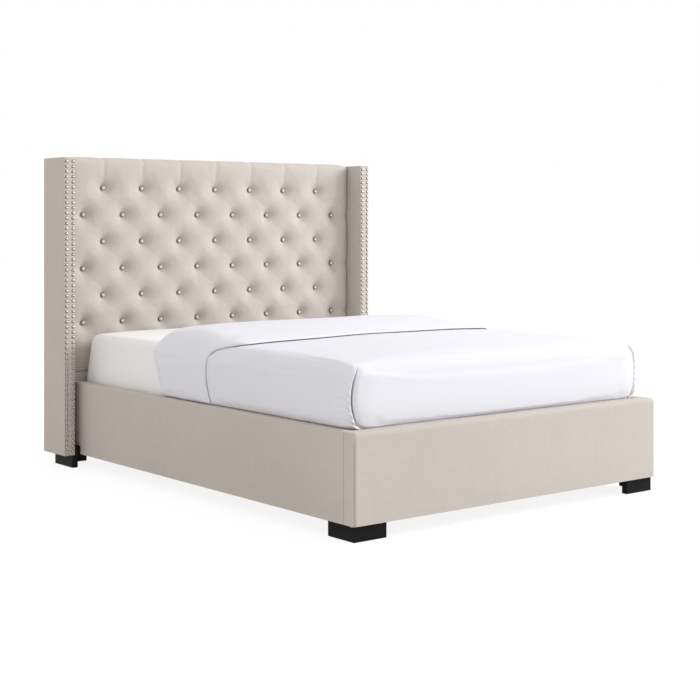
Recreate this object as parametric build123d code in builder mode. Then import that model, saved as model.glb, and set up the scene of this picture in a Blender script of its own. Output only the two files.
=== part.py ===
from build123d import *
import math
import os

# Upholstered wingback bed for a mattress of 60 x 80 inches. Lengths are in millimetres.
# X runs across the bed, Y from the foot end to the head end, Z up.
# The origin is on the floor, at the centre of the bed's footprint.

# Mattress and bedding
mattress_width = 1524.0
mattress_length = 2032.0
mattress_height = 305.0
mattress_corner = 70.0
mattress_edge = 24.0
sheet_thickness = 2.0
mattress_side_gap = 13.0
mattress_foot_gap = 12.0
mattress_head_gap = 30.0
lift_gap = 0.3

# Side rails and footboard
board_height = 336.0
rail_core_thickness = 38.0
rail_cover = 6.0
footboard_core_thickness = 50.0
footboard_cover = 9.0
footboard_round = 22.0
rail_round = 5.0

# Headboard and wings
wing_height = 1390.0
headboard_rise = 5.0
wing_depth = 213.0
wing_core_thickness = 44.0
wing_cover = 6.0
wing_gap = 30.0
wing_round = 5.0
tuft_depth = 38.0
pad_base = 16.0
panel_thickness = 12.0
frame_depth = 45.0
back_cover = 3.0
stile_width = 130.0
cross_rail_height = 90.0
top_padding = 14.0
lower_pad_thickness = 10.0

# Tufting
tuft_columns = 8
tuft_rows = 7
tuft_row_pitch = 129.0
tuft_top_margin = 144.0
tuft_groove = 16.0
pad_bottom = 440.0
pad_top_round = 30.0
pad_scallop = 5.0
pad_corner_drop = 10.0
pad_back_round = 8.0
pad_band_step = 1.0
pad_side_draw = 34.0
pad_side_round = 84.0
cut_overrun = 5.0
dimple_radius = 74.0
button_radius = 12.0
button_rim = 3.5
button_height = 7.0
button_pin_radius = 2.0
button_clearance = 0.3
crystal_radius = 8.5
crystal_crown = 3.0
crystal_table_share = 0.5

# Nailheads on the wing fronts
nail_radius = 5.6
nail_crown = 3.2
nail_pitch = 24.1
nail_edge_inset = 11.5
nail_end_inset = 20.0

# Feet
foot_height = 60.0
foot_thickness = 28.0
front_foot_leg = 152.0
front_foot_side_inset = 12.0
front_foot_face_inset = 16.0
rear_foot_leg = 174.0
rear_foot_side_overhang = 11.0
rear_foot_face_inset = 8.0
foot_edge = 2.0
foot_block_height = 40.0
foot_block_length = 130.0
foot_block_gap = 0.5
foot_screw_shares = (0.3, 0.8)
side_screw_shares = (0.58, 0.88)
rear_screw_share = 1 / 3
block_screw_shares = (0.2, 0.8)
block_screw_side_share = 1 / 3

# Slats and centre support
slat_count = 14
slat_width = 80.0
slat_thickness = 19.0
slat_end_gap = 3.0
slat_row_inset = 20.0
cleat_width = 25.0
cleat_height = 40.0
cleat_end_gap = 20.0
beam_end_gap = 0.5
deck_height = 316.0
beam_width = 40.0
beam_height = 60.0
centre_leg_width = 40.0
saddle_thickness = 3.0
saddle_flange = 30.0
saddle_length = 50.0
saddle_clearance = 0.5
centre_leg_shares = {"foot": 0.25, "middle": 0.5, "head": 0.75}

# Levelling glides
glide_pad_radius = 17.0
glide_pad_height = 8.0
glide_bevel_share = 0.25
glide_stud_radius = 4.0
glide_stud_length = 34.0
glide_clearance = 0.3
stud_hole_clearance = 0.35

# Brackets and fasteners
bracket_thickness = 3.0
bracket_flange = 40.0
bracket_height = 140.0
bracket_floor_gap = 90.0
bracket_hole_share = 0.6
bracket_bolt_shares = (0.2, 0.8)
bolt_radius = 4.0
bolt_head_radius = 6.5
bolt_head_height = 5.0
bolt_grip = 40.0
bolt_hole_clearance = 0.3
wing_bolt_seat = 45.0
wing_bolt_grip = 40.0
wing_bolt_shares = (0.25, 0.5, 0.8)
leg_bolt_grip = 40.0
leg_bolt_recess = 6.0
screw_radius = 2.5
screw_head_radius = 5.0
screw_head_height = 3.0
screw_grip = 26.0
screw_seat_height = 24.0
slat_screw_radius = 2.0
slat_screw_head_radius = 4.0
slat_screw_head_height = 2.0
slat_screw_recess = 2.5
slat_screw_length = 40.0
screw_clearance = 0.25

# Duvet, tucked in at its sides and foot and folded back at its head end
duvet_thickness = 14.0
duvet_crown = 16.0
duvet_rail_overlap = 22.0
duvet_side_bulge = 5.0
duvet_board_overlap = 2.0
duvet_tuck_depth = 60.0
duvet_shoulder = 40.0
duvet_foot_drop = 9.0
duvet_foot_slope = 160.0
cuff_length = 470.0
cuff_reach = 1446.0
cuff_rise = 44.0
cuff_side_rise = 4.0
cuff_round = 32.0
sheet_hem = 40.0

# Sizes that follow
side_rail_thickness = rail_core_thickness + 2 * rail_cover
bed_width = mattress_width + 2 * (mattress_side_gap + side_rail_thickness)
footboard_thickness = footboard_core_thickness + 2 * footboard_cover
headboard_width = bed_width + 2 * wing_gap
wing_thickness = wing_core_thickness + 2 * wing_cover
headboard_layers = tuft_depth + pad_base + panel_thickness + frame_depth + back_cover
bed_length = (footboard_thickness + mattress_foot_gap + mattress_length
              + mattress_head_gap + headboard_layers)

y_foot = -bed_length / 2
y_head = bed_length / 2
y_board_back = y_foot + footboard_thickness
y_crown = y_head - headboard_layers
y_seat = y_crown + tuft_depth
y_panel = y_seat + pad_base
y_frame = y_panel + panel_thickness
y_lower = y_panel - lower_pad_thickness
y_wing = y_head - wing_depth
x_rail_in = bed_width / 2 - side_rail_thickness
x_rail_out = bed_width / 2
x_headboard = headboard_width / 2
x_wing = x_headboard + wing_thickness
rail_length = y_lower - y_board_back
rail_middle = (y_lower + y_board_back) / 2
board_top = foot_height + board_height
wing_top = foot_height + wing_height
headboard_top = wing_top + headboard_rise
frame_top = headboard_top - top_padding
frame_height = frame_top - foot_height
tuft_pitch = headboard_width / tuft_columns
top_row_height = headboard_top - tuft_top_margin
bottom_row_height = top_row_height - (tuft_rows - 1) * tuft_row_pitch
field_width = headboard_width - tuft_pitch
field_height = top_row_height - bottom_row_height
cleat_top = deck_height - slat_thickness
beam_bottom = cleat_top - beam_height
leg_bottom = glide_pad_height + glide_clearance
sides = {"left": -1, "right": 1}

os.makedirs("parts", exist_ok=True)


def write(part, name):
    """Label a finished piece and write it under its name."""
    part.label = name
    export_step(part, f"parts/{name}.step")


def button_points():
    """Return the places of the tuft buttons as (x, z) pairs, from the top row down."""
    points = []
    for row in range(tuft_rows):
        count = tuft_columns - 1 + row % 2
        for column in range(count):
            x = (column - (count - 1) / 2) * tuft_pitch
            points.append((x, top_row_height - row * tuft_row_pitch))
    return points


def scallops(points, crown):
    """Draw one arc from each point to the next, raised by crown to its left."""
    for start, end in zip(points[:-1], points[1:]):
        along = Vector(*end) - Vector(*start)
        middle = (Vector(*start) + Vector(*end)) / 2
        side = Vector(-along.Y, along.X).normalized()
        ThreePointArc(Vector(*start), middle + side * crown, Vector(*end))


# Corner points of the feet, and the places of all bolts and screws
x_front_corner = x_rail_out - front_foot_side_inset
y_front_corner = y_foot + front_foot_face_inset
x_rear_corner = x_headboard + rear_foot_side_overhang
y_rear_corner = y_wing + rear_foot_face_inset + rear_foot_leg
bracket_reach = bracket_flange * bracket_hole_share
x_bracket_bolt = x_rail_in - bracket_reach
x_saddle_bolt = beam_width / 2 + saddle_clearance + saddle_thickness + saddle_flange / 2
saddle_bolt_level = beam_bottom + beam_height / 2
bracket_bolt_levels = [bracket_floor_gap + bracket_height * share for share in bracket_bolt_shares]
wing_bolt_levels = [foot_height + frame_height * share for share in wing_bolt_shares]
y_wing_bolt = y_frame + frame_depth / 2
slat_rows = [
    y_board_back + slat_row_inset + slat_width / 2
    + row * (rail_length - 2 * slat_row_inset - slat_width) / (slat_count - 1)
    for row in range(slat_count)
]
centre_leg_places = {
    name: y_board_back + rail_length * share
    for name, share in centre_leg_shares.items()
}


def bolt_plane(x, y, z, direction):
    """Return a plane on a bolt's seat that faces the way the bolt goes in."""
    return Plane(origin=(x, y, z), z_dir=direction)


frame_bolts = []
for side in sides.values():
    for level in bracket_bolt_levels:
        rail_bolt_x = side * (x_rail_in - bracket_thickness)
        frame_bolts += [
            bolt_plane(rail_bolt_x, y_board_back + bracket_reach, level, (side, 0, 0)),
            bolt_plane(rail_bolt_x, y_lower - bracket_reach, level, (side, 0, 0)),
            bolt_plane(side * x_bracket_bolt, y_board_back + bracket_thickness, level, (0, -1, 0)),
            bolt_plane(side * x_bracket_bolt, y_lower - bracket_thickness, level, (0, 1, 0)),
        ]
    saddle_x = side * x_saddle_bolt
    frame_bolts += [
        bolt_plane(saddle_x, y_board_back + saddle_thickness, saddle_bolt_level, (0, -1, 0)),
        bolt_plane(saddle_x, y_lower - saddle_thickness, saddle_bolt_level, (0, 1, 0)),
    ]

wing_bolts = [
    bolt_plane(side * (x_headboard - wing_bolt_seat), y_wing_bolt, level, (side, 0, 0))
    for side in sides.values() for level in wing_bolt_levels
]
wing_bolt_length = wing_bolt_seat + wing_cover + wing_bolt_grip
leg_bolt_length = beam_height - leg_bolt_recess + leg_bolt_grip

foot_screws = []
for side in sides.values():
    for share in foot_screw_shares:
        along_front = x_front_corner - front_foot_leg * share
        along_rear = x_rear_corner - front_foot_leg * share
        foot_screws += [
            (side * along_front, y_front_corner + foot_thickness / 2),
            (side * along_rear, y_rear_corner - foot_thickness * rear_screw_share),
        ]
    for share in side_screw_shares:
        foot_screws.append((side * (x_front_corner - foot_thickness / 2),
                            y_front_corner + front_foot_leg * share))
    for share in block_screw_shares:
        foot_screws.append((side * (x_headboard - wing_gap * block_screw_side_share),
                            y_wing + rear_foot_face_inset + foot_block_length * share))

slat_screws = [(side * (x_rail_in - cleat_width / 2), row)
               for side in sides.values() for row in slat_rows]
low = (Align.CENTER, Align.CENTER, Align.MIN)


def cut_frame_bolts():
    """Cut the holes of the bracket and saddle bolts from the part being built."""
    with Locations(*frame_bolts):
        Cylinder(bolt_radius + bolt_hole_clearance, bolt_grip + bolt_hole_clearance,
                 align=low, mode=Mode.SUBTRACT)


def cut_wing_bolts():
    """Cut the holes of the wing bolts from the part being built."""
    with Locations(*wing_bolts):
        Cylinder(bolt_radius + bolt_hole_clearance, wing_bolt_length + bolt_hole_clearance,
                 align=low, mode=Mode.SUBTRACT)


def cut_foot_screws():
    """Cut the pilot holes of the foot screws, above the feet, from the part being built."""
    with Locations(*[(x, y, foot_height) for x, y in foot_screws]):
        Cylinder(screw_radius + screw_clearance, screw_grip + screw_clearance,
                 align=low, mode=Mode.SUBTRACT)


# Headboard frame: two stiles, three cross rails and the plywood panel
for side_name, side in sides.items():
    with BuildPart() as headboard_stile:
        with BuildSketch(Plane.XY.offset(foot_height)):
            with Locations((side * (x_headboard - stile_width / 2), y_frame + frame_depth / 2)):
                Rectangle(stile_width, frame_depth)
        extrude(amount=frame_height)
        cut_frame_bolts()
        cut_wing_bolts()
        cut_foot_screws()
        # Wide bores in which the wing bolts' heads go in from the inner edge
        with Locations(*wing_bolts):
            Cylinder(bolt_head_radius + bolt_hole_clearance, stile_width,
                     align=(Align.CENTER, Align.CENTER, Align.MAX), mode=Mode.SUBTRACT)
    write(headboard_stile.part, f"headboard_stile_{side_name}")

cross_rails = {
    "top": frame_top - cross_rail_height,
    "middle": pad_bottom,
    "bottom": foot_height,
}
for rail_name, base in cross_rails.items():
    with BuildPart() as headboard_cross_rail:
        with BuildSketch(Plane.XY.offset(base)):
            with Locations((0, y_frame + frame_depth / 2)):
                Rectangle(headboard_width - 2 * stile_width, frame_depth)
        extrude(amount=cross_rail_height)
        cut_frame_bolts()
    write(headboard_cross_rail.part, f"headboard_{rail_name}_rail")

with BuildPart() as headboard_panel:
    with BuildSketch(Plane.XZ.offset(-y_frame)):
        with Locations((0, foot_height + frame_height / 2)):
            Rectangle(headboard_width, frame_height)
        with Locations(*button_points()):
            Circle(button_pin_radius + button_clearance, mode=Mode.SUBTRACT)
    extrude(amount=panel_thickness)
    cut_frame_bolts()
write(headboard_panel.part, "headboard_panel")

with BuildPart() as headboard_lower_pad:
    with BuildSketch(Plane.XZ.offset(-y_panel)):
        with Locations((0, (foot_height + pad_bottom) / 2)):
            Rectangle(headboard_width, pad_bottom - foot_height)
    extrude(amount=lower_pad_thickness)
    cut_frame_bolts()
write(headboard_lower_pad.part, "headboard_lower_pad")

with BuildPart() as headboard_back_cover:
    with BuildSketch(Plane.XZ.offset(-y_head)):
        with Locations((0, foot_height + frame_height / 2)):
            Rectangle(headboard_width, frame_height)
    extrude(amount=back_cover)
write(headboard_back_cover.part, "headboard_back_cover")

# Tufted pad: a field of diamonds, with straight pleats from it to the pad's edges
y_groove = y_crown + tuft_groove
groove_spacing = tuft_pitch * tuft_row_pitch / math.hypot(tuft_pitch / 2, tuft_row_pitch)
field_middle = (top_row_height + bottom_row_height) / 2
middle_row_shift = (tuft_rows // 2) % 2 / 2
outer_line = (tuft_columns + tuft_rows) // 2 + middle_row_shift
side_band = tuft_pitch / 2
side_levels = [top_row_height + tuft_row_pitch * (1 - 2 * step)
               for step in range(tuft_rows // 2 + 2)]
pleats = [(column - tuft_columns / 2) * tuft_pitch for column in range(tuft_columns + 1)]
arc_share = math.sqrt(0.5)

with BuildPart() as tufted_pad:
    # Diamonds between the outer buttons, cut by two families of slanting grooves
    with BuildSketch(Plane.XZ.offset(-y_panel)):
        with Locations((0, field_middle)):
            Rectangle(field_width, field_height)
    extrude(amount=y_panel - y_crown + cut_overrun)
    for lean in (-1, 1):
        groove_plane = Plane(
            origin=(0, y_crown, field_middle),
            x_dir=(tuft_row_pitch, 0, -lean * tuft_pitch / 2),
            z_dir=(lean * tuft_pitch / 2, 0, tuft_row_pitch),
        )
        inward = 1 if groove_plane.y_dir.Y > 0 else -1
        lines = [(line - outer_line) * groove_spacing for line in range(int(2 * outer_line) + 1)]
        marks = [(place, inward * tuft_groove) for place in lines]
        if inward > 0:
            marks.reverse()
        with BuildSketch(groove_plane):
            with BuildLine():
                scallops(marks, tuft_groove)
                Polyline(
                    marks[-1],
                    (marks[-1][0], -inward * tuft_depth),
                    (marks[0][0], -inward * tuft_depth),
                    marks[0],
                )
            make_face()
        extrude(amount=headboard_width, both=True, mode=Mode.SUBTRACT)
    # Bands above and below the field, with a pleat at each button of the end rows
    y_band = y_groove + pad_band_step
    for base, top in ((pad_bottom, bottom_row_height), (top_row_height, headboard_top)):
        with BuildSketch(Plane.XY.offset(base)):
            with BuildLine():
                scallops([(place, y_band) for place in reversed(pleats)], tuft_groove)
                Polyline(
                    (-x_headboard, y_band),
                    (-x_headboard, y_panel),
                    (x_headboard, y_panel),
                    (x_headboard, y_band),
                )
            make_face()
        extrude(amount=top - base)
    # Bands beside the field, with a level pleat from each outer button to the wing
    for side in sides.values():
        with BuildSketch(Plane.YZ.offset(side * (x_headboard - side_band))):
            with BuildLine():
                scallops([(y_band, level) for level in reversed(side_levels)], tuft_groove)
                Polyline(
                    (y_band, side_levels[0]),
                    (y_panel, side_levels[0]),
                    (y_panel, side_levels[-1]),
                    (y_band, side_levels[-1]),
                )
            make_face()
            with Locations((y_panel, field_middle)):
                Rectangle(2 * (y_panel - y_crown), field_height, mode=Mode.INTERSECT)
        extrude(amount=side * side_band)
    # The padding wraps over the top of the frame
    with BuildSketch(Plane.YZ.offset(-x_headboard)):
        with Locations(((y_panel + y_head) / 2, headboard_top - top_padding / 2)):
            Rectangle(y_head - y_panel, top_padding)
    extrude(amount=headboard_width)
    # Sides drawn in towards the wings
    y_before = y_crown - cut_overrun
    y_side = y_crown + pad_side_draw
    x_round = x_headboard - pad_side_round
    with BuildSketch(Plane.XY.offset(pad_bottom)):
        with BuildLine():
            for side in sides.values():
                ThreePointArc(
                    (side * x_headboard, y_side),
                    (side * (x_round + pad_side_round * arc_share),
                     y_side - (y_side - y_before) * arc_share),
                    (side * x_round, y_before),
                )
                Line((side * x_headboard, y_side), (side * x_headboard, y_head))
            Line((-x_round, y_before), (x_round, y_before))
            Line((-x_headboard, y_head), (x_headboard, y_head))
        make_face()
    extrude(amount=headboard_top - pad_bottom, mode=Mode.INTERSECT)
    # Rounded top and bottom edges
    with BuildSketch(Plane.YZ) as pad_section:
        with Locations(((y_before + y_head) / 2, (pad_bottom + headboard_top) / 2)):
            Rectangle(y_head - y_before, headboard_top - pad_bottom)
        fillet(pad_section.vertices().group_by(Axis.Y)[-1].sort_by(Axis.X)[0], pad_top_round)
        fillet(pad_section.vertices().group_by(Axis.Y)[-1].sort_by(Axis.X)[-1], pad_back_round)
        fillet(pad_section.vertices().group_by(Axis.Y)[0].sort_by(Axis.X)[0], tuft_groove)
    extrude(amount=x_headboard, both=True, mode=Mode.INTERSECT)
    # Scalloped top edge, lowest beside the wings
    top_marks = [(place, headboard_top - pad_scallop) for place in pleats]
    top_marks[0] = (pleats[0], headboard_top - pad_corner_drop)
    top_marks[-1] = (pleats[-1], headboard_top - pad_corner_drop)
    with BuildSketch(Plane.XZ.offset(-y_head)):
        with BuildLine():
            scallops(top_marks, pad_scallop - pad_band_step)
            Polyline(
                top_marks[-1],
                (x_headboard, pad_bottom),
                (-x_headboard, pad_bottom),
                top_marks[0],
            )
        make_face()
    extrude(amount=y_head - y_before, mode=Mode.INTERSECT)
    # A dimple and a pin hole at each button
    dimple_slope = (dimple_radius - button_radius) / tuft_depth
    with Locations(*[(x, y_crown, z) for x, z in button_points()]):
        Cone(
            bottom_radius=button_radius + button_clearance,
            top_radius=dimple_radius + dimple_slope * tuft_depth,
            height=2 * tuft_depth,
            rotation=(90, 0, 0),
            mode=Mode.SUBTRACT,
        )
    with Locations(*[(x, (y_seat + y_panel) / 2, z) for x, z in button_points()]):
        Cylinder(button_pin_radius + button_clearance, 2 * pad_base,
                 rotation=(90, 0, 0), mode=Mode.SUBTRACT)
write(tufted_pad.part, "tufted_pad")

# Tuft buttons: a metal rim on a pin through the pad and panel, and a cut crystal in it
button_planes = [Plane(origin=(x, y_seat, z), x_dir=(1, 0, 0), z_dir=(0, -1, 0))
                 for x, z in button_points()]
pocket_depth = button_height - button_rim
with BuildPart() as tuft_button_rims:
    with Locations(*button_planes):
        Cylinder(button_radius, button_height, align=low)
        Cylinder(button_pin_radius, pad_base + panel_thickness,
                 align=(Align.CENTER, Align.CENTER, Align.MAX))
    with Locations(*[plane.offset(button_rim) for plane in button_planes]):
        Cylinder(crystal_radius, pocket_depth, align=low, mode=Mode.SUBTRACT)
write(tuft_button_rims.part, "tuft_button_rims")

with BuildPart() as tuft_button_crystals:
    with Locations(*[plane.offset(button_rim) for plane in button_planes]):
        Cylinder(crystal_radius, pocket_depth, align=low)
    with Locations(*[plane.offset(button_height) for plane in button_planes]):
        Cone(crystal_radius, crystal_radius * crystal_table_share, crystal_crown, align=low)
write(tuft_button_crystals.part, "tuft_button_crystals")

# Wings: a core board in an upholstered cover that is open below, nailheads and a foot block
nail_steps = round((wing_height - 2 * nail_end_inset) / nail_pitch)
nail_step = (wing_height - 2 * nail_end_inset) / nail_steps
nail_sphere = (nail_radius ** 2 + nail_crown ** 2) / (2 * nail_crown)
nail_latitude = math.degrees(math.asin(1 - nail_crown / nail_sphere))
for side_name, side in sides.items():
    x_middle = side * (x_headboard + wing_thickness / 2)
    with BuildPart() as wing_core:
        with BuildSketch(Plane.XY.offset(foot_height)):
            with Locations((x_middle, (y_wing + y_head) / 2)):
                Rectangle(wing_core_thickness, wing_depth - 2 * wing_cover)
        extrude(amount=wing_height - wing_cover)
        cut_wing_bolts()
    write(wing_core.part, f"wing_core_{side_name}")

    with BuildPart() as wing_upholstery:
        with BuildSketch(Plane.XY.offset(foot_height)):
            with Locations((x_middle, (y_wing + y_head) / 2)):
                Rectangle(wing_thickness, wing_depth)
        extrude(amount=wing_height)
        fillet(wing_upholstery.edges().filter_by(Axis.Z)
               + wing_upholstery.faces().sort_by(Axis.Z)[-1].edges(), wing_round)
        with BuildSketch(Plane.XY.offset(foot_height)):
            with Locations((x_middle, (y_wing + y_head) / 2)):
                Rectangle(wing_core_thickness, wing_depth - 2 * wing_cover)
        extrude(amount=wing_height - wing_cover, mode=Mode.SUBTRACT)
        cut_wing_bolts()
    write(wing_upholstery.part, f"wing_cover_{side_name}")

    nail_rows = (x_headboard + nail_edge_inset, x_wing - nail_edge_inset)
    nail_places = [(side * row, y_wing, foot_height + nail_end_inset + nail_step * step)
                   for row in nail_rows for step in range(nail_steps + 1)]
    with BuildPart() as nailheads:
        with Locations(*nail_places):
            Sphere(nail_sphere, arc_size1=nail_latitude, rotation=(90, 0, 0),
                   align=(Align.CENTER, Align.CENTER, Align.MIN))
    write(nailheads.part, f"nailheads_{side_name}")

    with BuildPart() as foot_block:
        with BuildSketch(Plane.XY.offset(foot_height)):
            with Locations((side * (x_rail_out + foot_block_gap + x_headboard) / 2,
                            y_wing + rear_foot_face_inset + foot_block_length / 2)):
                Rectangle(wing_gap - foot_block_gap, foot_block_length)
        extrude(amount=foot_block_height)
        cut_foot_screws()
    write(foot_block.part, f"foot_block_{side_name}")

with BuildPart() as wing_bolt_set:
    with Locations(*wing_bolts):
        Cylinder(bolt_radius, wing_bolt_length, align=low)
    with BuildSketch(*wing_bolts):
        RegularPolygon(bolt_head_radius, 6)
    extrude(amount=-bolt_head_height)
write(wing_bolt_set.part, "wing_bolts")

# Footboard: a core board in a padded cover with round edges, open below
with BuildPart() as footboard_core:
    with BuildSketch(Plane.XY.offset(foot_height)):
        with Locations((0, y_foot + footboard_thickness / 2)):
            Rectangle(bed_width - 2 * footboard_cover, footboard_core_thickness)
    extrude(amount=board_height - footboard_cover)
    cut_frame_bolts()
    cut_foot_screws()
write(footboard_core.part, "footboard_core")

with BuildPart() as footboard_upholstery:
    with BuildSketch(Plane.XY.offset(foot_height)) as footboard_plan:
        with Locations((0, y_foot + footboard_thickness / 2)):
            Rectangle(bed_width, footboard_thickness)
        fillet(footboard_plan.vertices().group_by(Axis.Y)[0], footboard_round)
    extrude(amount=board_height)
    with BuildSketch(Plane.YZ) as footboard_section:
        with Locations((y_foot + footboard_thickness / 2, foot_height + board_height / 2)):
            Rectangle(footboard_thickness, board_height)
        fillet(footboard_section.vertices().group_by(Axis.Y)[-1], footboard_round)
    extrude(amount=bed_width, both=True, mode=Mode.INTERSECT)
    with BuildSketch(Plane.XZ.offset(-y_board_back)) as footboard_front:
        with Locations((0, foot_height + board_height / 2)):
            Rectangle(bed_width, board_height)
        fillet(footboard_front.vertices().group_by(Axis.Y)[-1], footboard_round)
    extrude(amount=footboard_thickness, mode=Mode.INTERSECT)
    with BuildSketch(Plane.XY.offset(foot_height)):
        with Locations((0, y_foot + footboard_thickness / 2)):
            Rectangle(bed_width - 2 * footboard_cover, footboard_core_thickness)
    extrude(amount=board_height - footboard_cover, mode=Mode.SUBTRACT)
    cut_frame_bolts()
write(footboard_upholstery.part, "footboard_cover")

# Side rails: a core board in an upholstered cover, a slat cleat, and a bracket at each end
for side_name, side in sides.items():
    x_middle = side * (x_rail_in + side_rail_thickness / 2)
    with BuildPart() as side_rail_core:
        with BuildSketch(Plane.XY.offset(foot_height)):
            with Locations((x_middle, rail_middle)):
                Rectangle(rail_core_thickness, rail_length)
        extrude(amount=board_height - rail_cover)
        cut_frame_bolts()
        cut_foot_screws()
    write(side_rail_core.part, f"side_rail_core_{side_name}")

    with BuildPart() as side_rail_upholstery:
        with BuildSketch(Plane.XZ.offset(-y_lower)) as rail_section:
            with Locations((x_middle, foot_height + board_height / 2)):
                Rectangle(side_rail_thickness, board_height)
            fillet(rail_section.vertices().group_by(Axis.Y)[-1], rail_round)
            with Locations((x_middle, foot_height + (board_height - rail_cover) / 2)):
                Rectangle(rail_core_thickness, board_height - rail_cover, mode=Mode.SUBTRACT)
        extrude(amount=rail_length)
        cut_frame_bolts()
    write(side_rail_upholstery.part, f"side_rail_cover_{side_name}")

    with BuildPart() as slat_cleat:
        with BuildSketch(Plane.XY.offset(cleat_top - cleat_height)):
            with Locations((side * (x_rail_in - cleat_width / 2), rail_middle)):
                Rectangle(cleat_width, rail_length - 2 * cleat_end_gap)
        extrude(amount=cleat_height)
        with Locations(*[(x, y, deck_height - slat_screw_recess) for x, y in slat_screws]):
            Cylinder(slat_screw_radius + screw_clearance, slat_screw_length + screw_clearance,
                     align=(Align.CENTER, Align.CENTER, Align.MAX), mode=Mode.SUBTRACT)
    write(slat_cleat.part, f"slat_cleat_{side_name}")

    for end_name, y_face, inward in (("foot", y_board_back, 1), ("head", y_lower, -1)):
        with BuildPart() as corner_bracket:
            with BuildSketch(Plane.XY.offset(bracket_floor_gap)):
                with Locations((side * (x_rail_in - bracket_flange / 2),
                                y_face + inward * bracket_thickness / 2)):
                    Rectangle(bracket_flange, bracket_thickness)
                with Locations((side * (x_rail_in - bracket_thickness / 2),
                                y_face + inward * bracket_flange / 2)):
                    Rectangle(bracket_thickness, bracket_flange)
            extrude(amount=bracket_height)
            cut_frame_bolts()
        write(corner_bracket.part, f"corner_bracket_{end_name}_{side_name}")

with BuildPart() as frame_bolt_set:
    with Locations(*frame_bolts):
        Cylinder(bolt_radius, bolt_grip, align=low)
    with BuildSketch(*frame_bolts):
        RegularPolygon(bolt_head_radius, 6)
    extrude(amount=-bolt_head_height)
write(frame_bolt_set.part, "frame_bolts")

# Feet: solid L blocks, screwed on from below through deep bores
foot_corners = {
    "front": (x_front_corner, y_front_corner, 1, front_foot_leg),
    "rear": (x_rear_corner, y_rear_corner, -1, rear_foot_leg),
}
for end_name, (x_corner, y_corner, inward, side_leg) in foot_corners.items():
    for side_name, side in sides.items():
        with BuildPart() as foot:
            with BuildSketch():
                with Locations((side * (x_corner - front_foot_leg / 2),
                                y_corner + inward * foot_thickness / 2)):
                    Rectangle(front_foot_leg, foot_thickness)
                with Locations((side * (x_corner - foot_thickness / 2),
                                y_corner + inward * side_leg / 2)):
                    Rectangle(foot_thickness, side_leg)
            extrude(amount=foot_height)
            chamfer(foot.faces().sort_by(Axis.Z)[0].outer_wire().edges(), foot_edge)
            with Locations(*[(x, y, 0) for x, y in foot_screws]):
                Cylinder(screw_radius + screw_clearance, foot_height,
                         align=low, mode=Mode.SUBTRACT)
                Cylinder(screw_head_radius + screw_clearance, screw_seat_height,
                         align=low, mode=Mode.SUBTRACT)
        write(foot.part, f"foot_{end_name}_{side_name}")

with BuildPart() as foot_screw_set:
    with Locations(*[(x, y, screw_seat_height) for x, y in foot_screws]):
        Cylinder(screw_radius, foot_height - screw_seat_height + screw_grip, align=low)
        Cylinder(screw_head_radius, screw_head_height,
                 align=(Align.CENTER, Align.CENTER, Align.MAX))
write(foot_screw_set.part, "foot_screws")

# Slats, screwed down on the cleats with their screw heads sunk
with BuildPart() as slats:
    with BuildSketch(Plane.XY.offset(cleat_top)):
        with Locations(*[(0, row) for row in slat_rows]):
            Rectangle(2 * (x_rail_in - slat_end_gap), slat_width)
    extrude(amount=slat_thickness)
    with Locations(*[(x, y, deck_height) for x, y in slat_screws]):
        Cylinder(slat_screw_radius + screw_clearance, slat_thickness,
                 align=(Align.CENTER, Align.CENTER, Align.MAX), mode=Mode.SUBTRACT)
        Cylinder(slat_screw_head_radius + screw_clearance, slat_screw_recess,
                 align=(Align.CENTER, Align.CENTER, Align.MAX), mode=Mode.SUBTRACT)
write(slats.part, "slats")

with BuildPart() as slat_screw_set:
    with Locations(*[(x, y, deck_height - slat_screw_recess) for x, y in slat_screws]):
        Cylinder(slat_screw_head_radius, slat_screw_head_height, align=low)
        Cylinder(slat_screw_radius, slat_screw_length,
                 align=(Align.CENTER, Align.CENTER, Align.MAX))
write(slat_screw_set.part, "slat_screws")

# Centre beam in its two saddles, on three legs with levelling glides
leg_bolt_places = [(0, place, cleat_top - leg_bolt_recess)
                   for place in centre_leg_places.values()]
with BuildPart() as centre_beam:
    with BuildSketch(Plane.XY.offset(beam_bottom)):
        with Locations((0, rail_middle)):
            Rectangle(beam_width, rail_length - 2 * beam_end_gap)
    extrude(amount=beam_height)
    with Locations(*leg_bolt_places):
        Cylinder(bolt_radius + bolt_hole_clearance, beam_height,
                 align=(Align.CENTER, Align.CENTER, Align.MAX), mode=Mode.SUBTRACT)
        Cylinder(bolt_head_radius + bolt_hole_clearance, leg_bolt_recess,
                 align=low, mode=Mode.SUBTRACT)
write(centre_beam.part, "centre_beam")

saddle_inner = beam_width + 2 * saddle_clearance
saddle_outer = saddle_inner + 2 * saddle_thickness
for end_name, y_face, inward in (("foot", y_board_back, 1), ("head", y_lower, -1)):
    with BuildPart() as beam_saddle:
        with BuildSketch(Plane.XY.offset(beam_bottom - saddle_thickness)):
            with Locations((0, y_face + inward * saddle_length / 2)):
                Rectangle(saddle_outer, saddle_length)
            with Locations((0, y_face + inward * saddle_thickness / 2)):
                Rectangle(saddle_outer + 2 * saddle_flange, saddle_thickness)
        extrude(amount=saddle_thickness + beam_height - saddle_clearance)
        with BuildSketch(Plane.XY.offset(beam_bottom)):
            with Locations((0, y_face + inward * saddle_length / 2)):
                Rectangle(saddle_inner, saddle_length)
        extrude(amount=beam_height, mode=Mode.SUBTRACT)
        cut_frame_bolts()
    write(beam_saddle.part, f"beam_saddle_{end_name}")

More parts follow.
